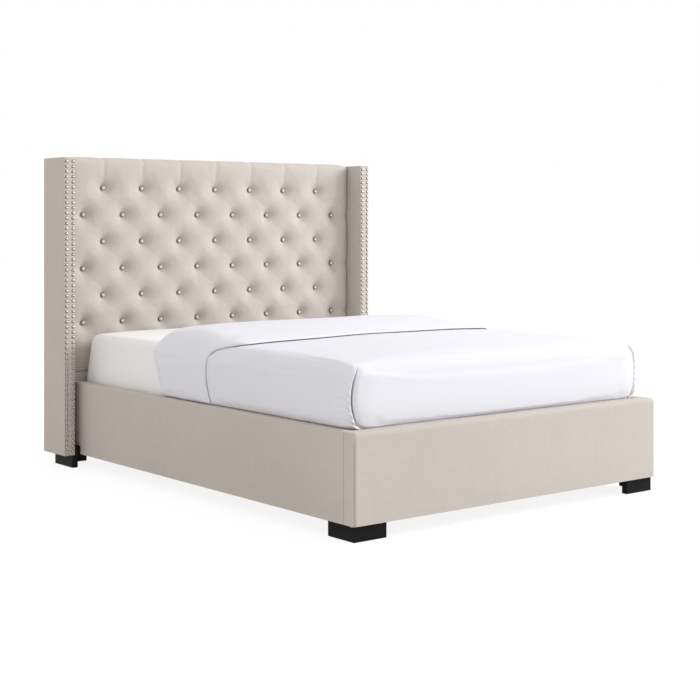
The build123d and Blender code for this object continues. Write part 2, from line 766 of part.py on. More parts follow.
for place_name, place in centre_leg_places.items():
    with BuildPart() as centre_leg:
        with BuildSketch(Plane.XY.offset(leg_bottom)):
            with Locations((0, place)):
                Rectangle(centre_leg_width, centre_leg_width)
        extrude(amount=beam_bottom - leg_bottom)
        with Locations((0, place, leg_bottom)):
            Cylinder(glide_stud_radius + stud_hole_clearance,
                     glide_stud_length + glide_clearance, align=low, mode=Mode.SUBTRACT)
        with Locations((0, place, beam_bottom)):
            Cylinder(bolt_radius + bolt_hole_clearance, leg_bolt_grip + bolt_hole_clearance,
                     align=(Align.CENTER, Align.CENTER, Align.MAX), mode=Mode.SUBTRACT)
    write(centre_leg.part, f"centre_leg_{place_name}")

    with BuildPart() as glide:
        with Locations((0, place)):
            Cylinder(glide_pad_radius, glide_pad_height, align=low)
        chamfer(glide.faces().sort_by(Axis.Z)[-1].edges(), glide_pad_height * glide_bevel_share)
        with Locations((0, place, glide_pad_height)):
            Cylinder(glide_stud_radius, glide_stud_length, align=low)
    write(glide.part, f"levelling_glide_{place_name}")

with BuildPart() as leg_bolt_set:
    with Locations(*leg_bolt_places):
        Cylinder(bolt_radius, leg_bolt_length,
                 align=(Align.CENTER, Align.CENTER, Align.MAX))
    with BuildSketch(Plane.XY.offset(cleat_top - leg_bolt_recess)):
        with Locations(*[(0, place) for place in centre_leg_places.values()]):
            RegularPolygon(bolt_head_radius, 6)
    extrude(amount=bolt_head_height)
write(leg_bolt_set.part, "centre_leg_bolts")

# Mattress, with round corners, and the fitted sheet over its top and sides
mattress_bottom = deck_height + lift_gap
mattress_top = mattress_bottom + mattress_height
y_mattress = y_board_back + mattress_foot_gap + mattress_length / 2

with BuildPart() as mattress:
    with BuildSketch(Plane.XY.offset(mattress_bottom)):
        with Locations((0, y_mattress)):
            RectangleRounded(mattress_width, mattress_length, mattress_corner)
    extrude(amount=mattress_height)
    fillet(mattress.faces().sort_by(Axis.Z)[-1].edges(), mattress_edge)
    fillet(mattress.faces().sort_by(Axis.Z)[0].edges(), mattress_edge)
write(mattress.part, "mattress")

with BuildPart() as fitted_sheet:
    with BuildSketch(Plane.XY.offset(mattress_bottom + sheet_hem)):
        with Locations((0, y_mattress)):
            RectangleRounded(mattress_width + 2 * sheet_thickness,
                             mattress_length + 2 * sheet_thickness,
                             mattress_corner + sheet_thickness)
    extrude(amount=mattress_height - sheet_hem + sheet_thickness)
    fillet(fitted_sheet.faces().sort_by(Axis.Z)[-1].edges(), mattress_edge + sheet_thickness)
    add(mattress.part, mode=Mode.SUBTRACT)
write(fitted_sheet.part, "fitted_sheet")

# Duvet: tucked down inside the rails and footboard, and folded back in a thick cuff
x_tuck = x_rail_in - lift_gap
x_bulge = x_rail_in + duvet_rail_overlap
y_tuck = y_board_back + lift_gap
y_bulge = y_board_back - duvet_board_overlap
duvet_top = mattress_top + sheet_thickness + duvet_thickness
tuck_bottom = board_top - duvet_tuck_depth
tuck_top = board_top + lift_gap
shoulder_base = duvet_top - duvet_shoulder
y_cuff_back = y_foot + cuff_reach
y_cuff_front = y_cuff_back - cuff_length
cuff_top = duvet_top + duvet_crown + cuff_rise


def duvet_outline(top, crown, widen):
    """Draw the duvet's outline across the bed, as one closed line."""
    x_side = x_bulge + widen
    x_shoulder = x_side - duvet_shoulder
    belly = (tuck_top + shoulder_base) / 2
    corner = duvet_shoulder * (1 - arc_share)
    for side in (-1, 1):
        Polyline(
            (side * x_tuck, tuck_bottom),
            (side * x_tuck, tuck_top),
            (side * x_side, tuck_top),
        )
        ThreePointArc(
            (side * x_side, tuck_top),
            (side * (x_side + duvet_side_bulge), belly),
            (side * x_side, top - duvet_shoulder),
        )
        ThreePointArc(
            (side * x_side, top - duvet_shoulder),
            (side * (x_side - corner), top - corner),
            (side * x_shoulder, top),
        )
    ThreePointArc((-x_shoulder, top), (0, top + crown), (x_shoulder, top))
    Line((-x_tuck, tuck_bottom), (x_tuck, tuck_bottom))


# The space that the mattress and sheet fill, with the duvet's clearance around it
space_grow = sheet_thickness + lift_gap
with BuildPart() as mattress_space:
    with BuildSketch(Plane.XY.offset(tuck_bottom)):
        with Locations((0, y_mattress)):
            RectangleRounded(mattress_width + 2 * space_grow,
                             mattress_length + 2 * space_grow,
                             mattress_corner + space_grow)
    extrude(amount=mattress_top + space_grow - tuck_bottom)
    fillet(mattress_space.faces().sort_by(Axis.Z)[-1].edges(), mattress_edge + space_grow)

with BuildPart() as duvet:
    with BuildSketch(Plane.XZ.offset(-y_cuff_back)):
        with BuildLine():
            duvet_outline(duvet_top, duvet_crown, 0)
        make_face()
    extrude(amount=y_cuff_back - y_foot)
    with BuildSketch(Plane.XZ.offset(-y_cuff_back)):
        with BuildLine():
            duvet_outline(duvet_top + cuff_rise, duvet_crown, cuff_side_rise)
        make_face()
    extrude(amount=cuff_length)
    # Outline seen from the side: foot end, top, and the cuff's rolled edges
    foot_top = duvet_top - duvet_foot_drop
    corner = duvet_shoulder * (1 - arc_share)
    roll = cuff_round * (1 - arc_share)
    with BuildSketch(Plane.YZ):
        with BuildLine():
            Polyline(
                (y_tuck, tuck_bottom),
                (y_tuck, tuck_top),
                (y_bulge, tuck_top),
                (y_bulge, foot_top - duvet_shoulder),
            )
            ThreePointArc(
                (y_bulge, foot_top - duvet_shoulder),
                (y_bulge + corner, foot_top - corner),
                (y_bulge + duvet_shoulder, foot_top),
            )
            Spline(
                (y_bulge + duvet_shoulder, foot_top),
                (y_bulge + duvet_foot_slope, duvet_top + duvet_crown),
                tangents=((1, 0), (1, 0)),
            )
            Polyline(
                (y_bulge + duvet_foot_slope, duvet_top + duvet_crown),
                (y_cuff_front, duvet_top + duvet_crown),
                (y_cuff_front, cuff_top - cuff_round),
            )
            ThreePointArc(
                (y_cuff_front, cuff_top - cuff_round),
                (y_cuff_front + roll, cuff_top - roll),
                (y_cuff_front + cuff_round, cuff_top),
            )
            Line((y_cuff_front + cuff_round, cuff_top), (y_cuff_back - cuff_round, cuff_top))
            ThreePointArc(
                (y_cuff_back - cuff_round, cuff_top),
                (y_cuff_back - roll, cuff_top - roll),
                (y_cuff_back, cuff_top - cuff_round),
            )
            Polyline(
                (y_cuff_back, cuff_top - cuff_round),
                (y_cuff_back, tuck_bottom),
                (y_tuck, tuck_bottom),
            )
        make_face()
    extrude(amount=x_bulge + duvet_shoulder, both=True, mode=Mode.INTERSECT)
    add(mattress_space.part, mode=Mode.SUBTRACT)
write(duvet.part, "duvet")
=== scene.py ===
"""Wingback bed, dressed: linen upholstery, diamond tufting, nailheads, crystal buttons and bedding.

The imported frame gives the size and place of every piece. Lengths are in metres, X runs across
the bed, Y from the foot end to the headboard, Z up, with the origin on the floor.
"""

import logging
import math
from collections.abc import Callable, Iterable
from dataclasses import dataclass, field
from enum import Enum

import bpy
import numpy as np
from mathutils import Euler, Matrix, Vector, noise


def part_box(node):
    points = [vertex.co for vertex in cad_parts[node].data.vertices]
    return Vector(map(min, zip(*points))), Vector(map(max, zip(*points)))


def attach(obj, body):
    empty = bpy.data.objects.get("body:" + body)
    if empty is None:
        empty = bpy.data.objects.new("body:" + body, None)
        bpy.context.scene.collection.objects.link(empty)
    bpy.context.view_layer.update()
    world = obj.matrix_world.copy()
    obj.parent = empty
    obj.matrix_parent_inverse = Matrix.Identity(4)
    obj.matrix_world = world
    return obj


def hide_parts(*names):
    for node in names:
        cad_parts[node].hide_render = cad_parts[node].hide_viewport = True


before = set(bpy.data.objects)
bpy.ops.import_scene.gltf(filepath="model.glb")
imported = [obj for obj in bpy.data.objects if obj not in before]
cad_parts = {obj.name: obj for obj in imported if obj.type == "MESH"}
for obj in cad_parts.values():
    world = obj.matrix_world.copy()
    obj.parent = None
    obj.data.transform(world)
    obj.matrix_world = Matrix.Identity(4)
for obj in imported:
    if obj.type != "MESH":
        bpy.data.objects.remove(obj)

log = logging.getLogger("wingback_bed")
Array = np.ndarray
Triple = tuple[float, float, float]
SIDES = {"left": -1, "right": 1}
# The least rounding of an edge, and the rounding up to which one mesh line is enough
TINY = 0.0004
SHARP = 0.003
WHITE = (1.0, 1.0, 1.0, 1.0)


class Body(Enum):
    """The bodies of the frame that pieces ride on."""

    FRAME = "bed_frame"
    BEDDING = "bedding"


class Slot(Enum):
    """The record's material slots of the new pieces."""

    LINEN = "linen"
    DUST_COVER = "dust_cover"
    ANTIQUE = "antique_metal"
    CRYSTAL = "crystal"
    TICKING = "mattress_ticking"
    SHEET = "sheet_cotton"
    DUVET = "duvet_cotton"


def operator(operation: str, swapped: bool = False) -> Callable:
    """Make a method that adds a maths node for two values.

    Args:
        operation: The node's operation.
        swapped: Whether the other value comes first, as in 1 - mask.

    Returns:
        The method.
    """
    def method(first: "Term", second: "Term | float") -> "Term":
        """Return the node's result."""
        return first.desk.maths(operation, *((second, first) if swapped else (first, second)))
    return method


@dataclass(frozen=True)
class Term:
    """One value in a node tree. Python operators on it add maths nodes."""

    desk: "NodeDesk"
    socket: bpy.types.NodeSocket

    __add__ = __radd__ = operator("ADD")
    __sub__ = operator("SUBTRACT")
    __rsub__ = operator("SUBTRACT", swapped=True)
    __mul__ = __rmul__ = operator("MULTIPLY")
    __truediv__ = operator("DIVIDE")
    __rtruediv__ = operator("DIVIDE", swapped=True)
    __pow__ = operator("POWER")
    least = operator("MINIMUM")
    most = operator("MAXIMUM")

    def __neg__(self) -> "Term":
        """Return the value with its sign changed."""
        return self * -1.0

    def __abs__(self) -> "Term":
        """Return the value without its sign."""
        return self.call("ABSOLUTE")

    def call(self, function: str) -> "Term":
        """Return a function of one value, such as SINE, COSINE, SQRT or EXPONENT."""
        return self.desk.maths(function, self)

    def kept(self, low: float, high: float) -> "Term":
        """Return the value kept between two limits."""
        return self.most(low).least(high)

    def nearest(self) -> "Term":
        """Return the nearest whole number."""
        return (self + 0.5).call("FLOOR")

    def bell(self, width: float, power: float = 2.0) -> "Term":
        """Return 1 at 0, falling smoothly to nothing a few widths away."""
        return (-(self / width) ** power).call("EXPONENT")

    def fade(self, start: float, end: float) -> "Term":
        """Return 0 before start, 1 after end and a smooth step between them."""
        settings = {"interpolation_type": "SMOOTHSTEP"}
        return self.desk.term("ShaderNodeMapRange", settings, {0: self, 1: start, 2: end})


@dataclass(frozen=True)
class NodeDesk:
    """Adds nodes to one tree."""

    tree: bpy.types.NodeTree

    def node(self, kind: str, settings: dict | None = None,
             values: dict | None = None) -> bpy.types.Node:
        """Add a node.

        Args:
            kind: The node's type.
            settings: Its own settings, set first.
            values: Its inputs by name or number, as terms to link or as constants.

        Returns:
            The new node.
        """
        node = self.tree.nodes.new(kind)
        for name, value in (settings or {}).items():
            setattr(node, name, value)
        for key, value in (values or {}).items():
            if isinstance(value, Term):
                self.tree.links.new(value.socket, node.inputs[key])
            else:
                node.inputs[key].default_value = value
        return node

    def term(self, kind: str, settings: dict | None = None, values: dict | None = None,
             output: int | str = 0) -> Term:
        """Add a node and return one of its outputs as a term."""
        return Term(self, self.node(kind, settings, values).outputs[output])

    def maths(self, operation: str, *values: Term | float) -> Term:
        """Add a maths node and return its result."""
        return self.term("ShaderNodeMath", {"operation": operation}, dict(enumerate(values)))

    def split(self, vector: Term) -> tuple[Term, Term, Term]:
        """Return a vector's three parts."""
        node = self.node("ShaderNodeSeparateXYZ", None, {0: vector})
        return tuple(Term(self, node.outputs[axis]) for axis in range(3))

    def joined(self, x: Term | float, y: Term | float, z: Term | float) -> Term:
        """Return the vector of three parts."""
        return self.term("ShaderNodeCombineXYZ", None, {0: x, 1: y, 2: z})

    def scaled(self, vector: Term, by: Triple) -> Term:
        """Return a vector multiplied part by part."""
        return self.term("ShaderNodeVectorMath", {"operation": "MULTIPLY"}, {0: vector, 1: by})

    def cloud(self, vector: Term, scale: float, detail: float = 2.0) -> Term:
        """Return a soft random value from 0 to 1 that changes over space."""
        values = {"Vector": vector, "Scale": scale, "Detail": detail}
        return self.term("ShaderNodeTexNoise", None, values)

    def tint(self, share: Term, first: Triple, second: Term | Triple) -> Term:
        """Return a colour between two."""
        second = second if isinstance(second, Term) else (*second, 1.0)
        return self.term("ShaderNodeMix", {"data_type": "RGBA"},
                         {0: share, 6: (*first, 1.0), 7: second}, output=2)


def times(parts: Triple, by: float) -> Triple:
    """Return a colour or a vector times a number."""
    return tuple(part * by for part in parts)


@dataclass(frozen=True)
class Finish:
    """A plain finish, and what every other has: a colour, how it varies, and its relief."""

    name: str
    colour: Triple
    roughness: float = 0.8
    constants: dict = field(default_factory=dict)
    darkest: float = 0.96
    lightest: float = 1.04
    relief: float = 0.0002
    grain_scale: float = 90.0

    def material(self) -> bpy.types.Material:
        """Build the finish once.

        Returns:
            Its material.
        """
        made = bpy.data.materials.get(self.name)
        if made is not None:
            return made
        made = bpy.data.materials.new(self.name)
        made.use_nodes = True
        made.diffuse_color = (*self.colour, 1.0)
        desk = NodeDesk(made.node_tree)
        shader = made.node_tree.nodes["Principled BSDF"]
        shader.inputs["Roughness"].default_value = self.roughness
        for name, value in self.constants.items():
            shader.inputs[name].default_value = value
        colour, height = self.pattern(desk, desk.term("ShaderNodeTexCoord", output="Object"))
        bump = desk.term("ShaderNodeBump", None, {"Distance": self.relief, "Height": height})
        for term, key in ((colour, "Base Color"), (bump, "Normal")):
            made.node_tree.links.new(term.socket, shader.inputs[key])
        return made

    def tones(self, desk: NodeDesk, share: Term) -> Term:
        """Return the finish's colour, from its darkest to its lightest tone."""
        return desk.tint(share, times(self.colour, self.darkest),
                         times(self.colour, self.lightest))

    def pattern(self, desk: NodeDesk, place: Term) -> tuple[Term, Term]:
        """Return the colour and the height of the relief at a point on the piece."""
        grain = desk.cloud(place, self.grain_scale)
        return self.tones(desk, grain), grain


@dataclass(frozen=True)
class Woven(Finish):
    """Plain-woven cloth, its threads along the three axes, with thicker slub threads."""

    threads: float = 620.0
    along: float = 26.0
    slub: float = 150.0
    relief: float = 0.0005

    def lines(self, desk: NodeDesk, place: Term, across: float, along: float) -> Term:
        """Draw three sets of streaks, one across each axis.

        Args:
            desk: The material's tree.
            place: The point on the piece.
            across: How fine the streaks are.
            along: How fine they are along their length.

        Returns:
            The mean of the three sets.
        """
        sets = []
        for axis in range(3):
            by = tuple(across if part == axis else along for part in range(3))
            sets.append(desk.cloud(desk.scaled(place, by), 1.0))
        return (sets[0] + sets[1] + sets[2]) / 3.0

    def pattern(self, desk: NodeDesk, place: Term) -> tuple[Term, Term]:
        """Draw the cloth.

        Args:
            desk: The material's tree.
            place: The point on the piece.

        Returns:
            The colour and the height of the relief.
        """
        weave = self.lines(desk, place, self.threads, self.along)
        slubs = self.lines(desk, place, self.slub, self.along / 4)
        patches = desk.cloud(place, 3.0)
        tone = (weave * 0.5 + slubs * 0.35 + patches * 0.15).fade(0.36, 0.64)
        return self.tones(desk, tone), weave + slubs * 0.6


@dataclass(frozen=True)
class Timber(Finish):
    """Planed wood with its grain along one axis."""

    darkest: float = 0.8
    lightest: float = 1.1
    relief: float = 0.0003
    grain: Triple = (30.0, 2.0, 30.0)
    bands: float = 9.0
    fineness: float = 9.0

    def pattern(self, desk: NodeDesk, place: Term) -> tuple[Term, Term]:
        """Draw the wood.

        Args:
            desk: The material's tree.
            place: The point on the piece.

        Returns:
            The colour and the height of the relief.
        """
        rings = desk.cloud(desk.scaled(place, self.grain), 1.0, 4.0)
        fine = desk.cloud(desk.scaled(place, times(self.grain, self.fineness)), 1.0)
        bands = (rings * self.bands).call("SINE") * 0.5 + 0.5
        return self.tones(desk, bands * 0.7 + fine * 0.3), fine


@dataclass(frozen=True)
class Metal(Finish):
    """Metal with a darker patina in patches, and painted shade on faces that turn from the front.
    """

    darkest: float = 0.6
    lightest: float = 1.0
    relief: float = 0.00015
    grain_scale: float = 260.0
    # How much painted shade faces that turn from the front get, as a share of the colour; 1 paints
    # none
    rim: float = 1.0

    def pattern(self, desk: NodeDesk, place: Term) -> tuple[Term, Term]:
        """Draw the metal.

        Args:
            desk: The material's tree.
            place: The point on the piece.

        Returns:
            The colour and the height of the relief.
        """
        worn = self.tones(desk, desk.cloud(place, self.grain_scale).fade(0.35, 0.65))
        scuff = desk.cloud(place, self.grain_scale * 6)
        # Painted shade: faces turned from the front are darkened, standing in for the shadows round
        # each head
        _, facing, _ = desk.split(desk.term("ShaderNodeTexCoord", output="Normal"))
        return desk.tint(abs(facing).fade(0.35, 0.9), times(self.colour, self.rim), worn), scuff


DULL = {"Specular IOR Level": 0.25}
METALLIC = {"Metallic": 1.0}
FINE = {"threads": 1500.0, "slub": 400.0, "relief": 0.00012}
LINEN = Woven("linen_cloth", (0.505, 0.457, 0.415), 0.92,
              {"Sheen Weight": 0.1, "Sheen Roughness": 0.5, **DULL}, 0.962, 1.038)
DUST_CLOTH = Woven("dust_cloth", (0.045, 0.045, 0.047), 0.95, {"Specular IOR Level": 0.2},
                   0.9, 1.1, 0.0003, threads=900.0, along=500.0, slub=300.0)
PERCALE = Woven("sheet_percale", (0.83, 0.828, 0.822), 0.88, DULL, 0.988, 1.012, **FINE)
DUVET_COTTON = Woven("duvet_cloth", (0.708, 0.71, 0.75), 0.88, DULL, 0.99, 1.01, **FINE)
TICKING = Woven("ticking_cloth", (0.7, 0.7, 0.68), 0.9, DULL, 0.95, 1.05, 0.0008,
                threads=700.0, slub=90.0)
# The feet's black paint; on the foot blocks it is painted shade for the narrow gap beside each wing
BLACK_PAINT_AND_GAP_SHADE = Timber("black_satin_wood", (0.0065, 0.006, 0.0054), 0.5,
                     {"Specular IOR Level": 0.1})
PINE = Timber("planed_pine", (0.62, 0.44, 0.26), 0.6)
PLYWOOD = Timber("raw_plywood", (0.58, 0.42, 0.26), 0.7, grain=(3.0, 30.0, 30.0))
SLAT_WOOD = Timber("slat_wood", (0.66, 0.5, 0.33), 0.6, grain=(2.0, 36.0, 36.0))
# Each rim sets the painted shade on faces that turn from the front: the nailheads' dark outlines
# and the rings' edges
ANTIQUE = Metal("antique_pewter", (0.62, 0.58, 0.52), 0.3, METALLIC, rim=0.1)
RING_METAL = Metal("darkened_ring", (0.31, 0.285, 0.26), 0.45, METALLIC, rim=0.7)
ZINC = Metal("zinc_plate", (0.55, 0.55, 0.54), 0.35, METALLIC, 0.85)
BLACK_STEEL = Finish("black_powder_coat", (0.025, 0.025, 0.027), 0.5)
NYLON = Finish("black_nylon", (0.02, 0.02, 0.021), 0.55)
# The crystal takes the metal's pattern, with painted shade on its facets that turn from the front
CRYSTAL = Metal("cut_crystal", (0.68, 0.665, 0.65), 0.12,
                {"Coat Weight": 1.0, "Coat Roughness": 0.03, "IOR": 1.55}, 0.85, rim=0.8)

# Finishes of the carried nodes, by how their names start; the first that fits is taken
CARRIED = (
    # The foot blocks take the black as painted shade of the gap between each wing and its rail
    (BLACK_PAINT_AND_GAP_SHADE, ("foot_front", "foot_rear", "foot_block")),
    (ZINC, ("foot_screws", "wing_bolts", "slat_screws", "centre_leg_bolts", "frame_bolts")),
    (SLAT_WOOD, ("slats",)),
    (BLACK_STEEL, ("beam_saddle", "corner_bracket")),
    (PLYWOOD, ("headboard_panel",)),
    (NYLON, ("levelling_glide",)),
    (PINE, ("wing_core", "footboard_core", "side_rail_core", "slat_cleat", "centre_beam",
            "centre_leg", "headboard_stile", "headboard_top_rail", "headboard_middle_rail",
            "headboard_bottom_rail")),
)


def dress_frame() -> None:
    """Give every carried piece of the frame its finish."""
    for name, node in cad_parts.items():
        for finish, stems in CARRIED:
            if name.startswith(stems):
                node.data.materials.clear()
                node.data.materials.append(finish.material())
                break


def step_up(value: Array, start: float, end: float) -> Array:
    """Return 0 before start, 1 after end and a smooth step between."""
    share = np.clip((value - start) / (end - start), 0, 1)
    return share * share * (3 - 2 * share)


def bell(value: Array, width: float) -> Array:
    """Return 1 at 0, falling smoothly to nothing a few widths away."""
    return np.exp(-(value / width) ** 2)


def bump(place: Array, form: Triple) -> Array:
    """Return a rise or hollow of a form's size, at its middle and over its width."""
    size, middle, width = form
    return size * bell(place - middle, width)


def add_object(name: str, data: bpy.types.ID) -> bpy.types.Object:
    """Add an object to the scene, at the world's origin.

    Args:
        name: The object's name.
        data: Its mesh, camera or light.

    Returns:
        The object.
    """
    thing = bpy.data.objects.new(name, data)
    bpy.context.scene.collection.objects.link(thing)
    return thing


def new_piece(name: str, points: Array, faces: Iterable, finish: Finish) -> bpy.types.Object:
    """Make a smooth mesh piece, with its place in its points.

    Args:
        name: The piece's name.
        points: Its points.
        faces: Its faces, each as numbers of points.
        finish: Its finish.

    Returns:
        The piece.
    """
    mesh = bpy.data.meshes.new(name)
    mesh.from_pydata(points.tolist(), [], [list(map(int, face)) for face in faces])
    mesh.validate()
    mesh.shade_smooth()
    mesh.materials.append(finish.material())
    return add_object(name, mesh)


class Skin:
    """A cover as points and four-sided faces; x, y and z are views, so changing one moves it."""

    def __init__(self, points: Array, faces: Array) -> None:
        """Keep the points and the faces."""
        self.points, self.faces = points, faces
        self.x, self.y, self.z = points.T

    def normals(self) -> Array:
        """Work out which way the cover faces.

        Returns:
            The outward direction at each point.
        """
        corner = self.points[self.faces]
        across = np.cross(corner[:, 2] - corner[:, 0], corner[:, 3] - corner[:, 1])
        total = np.zeros_like(self.points)
        for side in range(4):
            np.add.at(total, self.faces[:, side], across)
        return total / np.maximum(np.linalg.norm(total, axis=1, keepdims=True), 1e-12)

    def rough(self, scale: Triple | float, seed: float = 0.0) -> Array:
        """Return smooth noise from about -1 to 1 at each point."""
        spots = self.points * np.array(scale) + seed
        return np.array([noise.noise(Vector(spot)) for spot in spots])

    def swell(self, outward: Array, by: Array) -> None:
        """Move each point along its outward direction."""
        self.points += outward * by[:, None]

    def piece(self, name: str, finish: Finish) -> bpy.types.Object:
        """Return a new piece with this cover."""
        return new_piece(name, self.points, self.faces, finish)


def stops(low: float, high: float, near: float, far: float, step: float, lines: int,
          extra: Iterable[float]) -> Array:
    """Divide one side of a rounded block.

    Args:
        low: Where the side starts.
        high: Where it ends.
        near: The rounding at its start.
        far: The rounding at its end.
        step: The spacing between the roundings.
        lines: How many lines each rounding gets.
        extra: Further places that get a line.

    Returns:
        The places of the mesh lines, closer together on the roundings.
    """
    turn = np.tan(np.linspace(math.pi / 4, 0, lines + 1))
    middle = np.linspace(low + near, high - far,
                         max(2, math.ceil((high - low - near - far) / step) + 1))
    middle = np.unique(np.round(np.concatenate([middle, list(extra)]), 5))
    return np.concatenate([low + near * (1 - turn[:-1]), middle, high - far * (1 - turn[::-1][1:])])


def rounded_block(low: Triple, high: Triple, near: Triple, far: Triple, step: float,
                  lines: int = 4, extra: dict[int, list[float]] | None = None) -> Skin:
    """Make the surface of a block with rounded edges.

    Args:
        low: The lowest corner.
        high: The highest corner.
        near: The rounding along each axis at the low side.
        far: The same at the high side.
        step: The spacing of the mesh.
        lines: How many mesh lines each rounding gets.
        extra: For an axis, further places that get a mesh line.

    Returns:
        The block's skin.
    """
    low, high = np.array(low, float), np.array(high, float)
    near, far = (np.maximum(np.array(part, float), TINY) for part in (near, far))
    cuts = [stops(low[a], high[a], near[a], far[a], step,
                  lines if max(near[a], far[a]) > SHARP else 1, (extra or {}).get(a, ()))
            for a in range(3)]
    shell = np.ones([len(cut) for cut in cuts], bool)
    shell[1:-1, 1:-1, 1:-1] = False
    index = np.full(shell.shape, -1)
    index[shell] = np.arange(shell.sum())
    places = np.argwhere(shell)
    points = np.stack([cuts[a][places[:, a]] for a in range(3)], axis=1)
    faces = []
    for axis in range(3):
        for end in (0, -1):
            sheet = np.take(index, end, axis=axis)
            if axis == 1:
                sheet = sheet.T
            faces.append(quads(sheet)[:, ::1 if end else -1])
    core_low, core_high = low + near, high - far
    out = np.where(points < core_low, (points - core_low) / near,
                   np.where(points > core_high, (points - core_high) / far, 0.0))
    out /= np.maximum(np.linalg.norm(out, axis=1, keepdims=True), 1.0)
    points = np.clip(points, core_low, core_high) + np.where(out < 0, out * near, out * far)
    return Skin(points, np.concatenate(faces))


def quads(index: Array) -> Array:
    """Return the four-sided faces between the numbered points of a grid."""
    return np.stack([index[:-1, :-1], index[1:, :-1], index[1:, 1:], index[:-1, 1:]],
                    -1).reshape(-1, 4)


def read_points(mesh: bpy.types.Mesh) -> Array:
    """Read the points of a mesh.

    Args:
        mesh: The mesh.

    Returns:
        Its points.
    """
    flat = np.zeros(len(mesh.vertices) * 3, np.float32)
    mesh.vertices.foreach_get("co", flat)
    return flat.reshape(-1, 3).astype(float)


def keep_result(piece: bpy.types.Object) -> None:
    """Replace a piece's mesh by what its modifiers make of it, and remove them.

    Args:
        piece: The piece.
    """
    graph = bpy.context.evaluated_depsgraph_get()
    mesh = bpy.data.meshes.new_from_object(piece.evaluated_get(graph))
    piece.modifiers.clear()
    piece.data = mesh


def refine(piece: bpy.types.Object) -> None:
    """Subdivide a piece once, and keep the result as its mesh.

    Args:
        piece: The piece.
    """
    smooth = piece.modifiers.new("smooth", "SUBSURF")
    smooth.levels = smooth.render_levels = 1
    keep_result(piece)


def settle(piece: bpy.types.Object, body: Body, slot: Slot, *nodes: str,
           fill: float = 0.0) -> bpy.types.Object:
    """Let a finished piece ride on a body and stand for CAD nodes.

    Args:
        piece: The piece.
        body: The body it rides on.
        slot: Its material slot; not used.
        nodes: The CAD nodes that it replaces.
        fill: How full it is, where it is a padded piece; not used.

    Returns:
        The piece.
    """
    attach(piece, body.value)
    if nodes:
        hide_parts(*nodes)
    log.info("%s: %d points, rides on %s", piece.name, len(piece.data.vertices), body.value)
    return piece


@dataclass(frozen=True)
class ClothRun:
    """A short cloth simulation that fills a padded piece and lets its cover wrinkle."""

    pressure: float
    growth: float
    bending: float
    cap: float = 0.004
    frames: int = 20
    stiffness: float = 12.0
    mass: float = 0.25
    quality: int = 5

    def run(self, piece: bpy.types.Object, held: Array) -> None:
        """Simulate a piece and keep the result.

        Args:
            piece: The mesh piece, with no other modifier.
            held: For each point, 0 where it is free and 1 where it is held.
        """
        before = read_points(piece.data)
        group = piece.vertex_groups.new(name="held")
        held = np.round(held, 2)
        for share in np.unique(held):
            group.add(np.flatnonzero(held == share).tolist(), float(share), "REPLACE")
        cloth = piece.modifiers.new("cloth", "CLOTH")
        rules = cloth.settings
        rules.quality = self.quality
        rules.mass = self.mass
        rules.tension_stiffness = rules.compression_stiffness = self.stiffness
        rules.shear_stiffness = self.stiffness / 2
        rules.bending_stiffness = self.bending
        rules.use_pressure = True
        rules.uniform_pressure_force = self.pressure
        rules.effector_weights.gravity = 0.0
        rules.vertex_group_mass = "held"
        rules.shrink_min = -self.growth
        cloth.collision_settings.use_collision = False
        cloth.point_cache.frame_start = 1
        cloth.point_cache.frame_end = self.frames
        scene = bpy.context.scene
        for number in range(1, self.frames + 1):
            scene.frame_set(number)
        graph = bpy.context.evaluated_depsgraph_get()
        moved = read_points(piece.evaluated_get(graph).data) - before
        piece.modifiers.remove(cloth)
        piece.vertex_groups.clear()
        scene.frame_set(1)
        far = np.linalg.norm(moved, axis=1, keepdims=True)
        log.info("%s: cloth moved %.1f mm at most", piece.name, far.max() * 1000)
        moved *= np.minimum(1.0, self.cap / np.maximum(far, 1e-9))
        piece.data.vertices.foreach_set("co", (before + moved).astype(np.float32).ravel())
        piece.data.update()


class FormTree:
    """A geometry nodes tree with named sizes, whose result becomes a plain mesh."""

    def __init__(self, name: str, sizes: dict[str, float | int]) -> None:
        """Start the tree.

        Args:
            name: The tree's name.
            sizes: Its inputs and their values.
        """
        self.name = name
        self.sizes = sizes
        self.tree = bpy.data.node_groups.new(name, "GeometryNodeTree")
        face = self.tree.interface
        for way in ("INPUT", "OUTPUT"):
            face.new_socket("Geometry", in_out=way, socket_type="NodeSocketGeometry")
        self.keys = {}
        for size, value in sizes.items():
            kind = "NodeSocketInt" if isinstance(value, int) else "NodeSocketFloat"
            self.keys[size] = face.new_socket(size, in_out="INPUT", socket_type=kind).identifier
        self.desk = NodeDesk(self.tree)
        self.entry = self.desk.node("NodeGroupInput")

    def size(self, name: str) -> Term:
        """Return one of the tree's inputs: a size, or the Geometry it starts from."""
        return Term(self.desk, self.entry.outputs[name])

    def make(self, kind: str, values: dict, settings: dict | None = None) -> Term:
        """Add a geometry node and return its first output."""
        return self.desk.term("GeometryNode" + kind, settings, values)

    def both(self, first: Term, second: Term) -> Term:
        """Join two shapes.

        Args:
            first: One shape.
            second: The other.

        Returns:
            The two as one.
        """
        joined = self.make("JoinGeometry", {0: first})
        self.tree.links.new(second.socket, joined.socket.node.inputs[0])
        return joined

    def close(self, shape: Term, finish: Finish) -> None:
        """End the tree with real geometry in one finish.

        Args:
            shape: The result.
            finish: Its finish.
        """
        real = self.make("RealizeInstances", {0: shape})
        dressed = self.make("SetMaterial", {0: real, "Material": finish.material()})
        self.desk.node("NodeGroupOutput", None, {0: dressed})

    def apply(self, piece: bpy.types.Object) -> None:
        """Run the tree on a piece and keep the result as its mesh.

        Args:
            piece: The piece.
        """
        modifier = piece.modifiers.new(self.name, "NODES")
        modifier.node_group = self.tree
        for size, value in self.sizes.items():
            modifier[self.keys[size]] = value
        keep_result(piece)


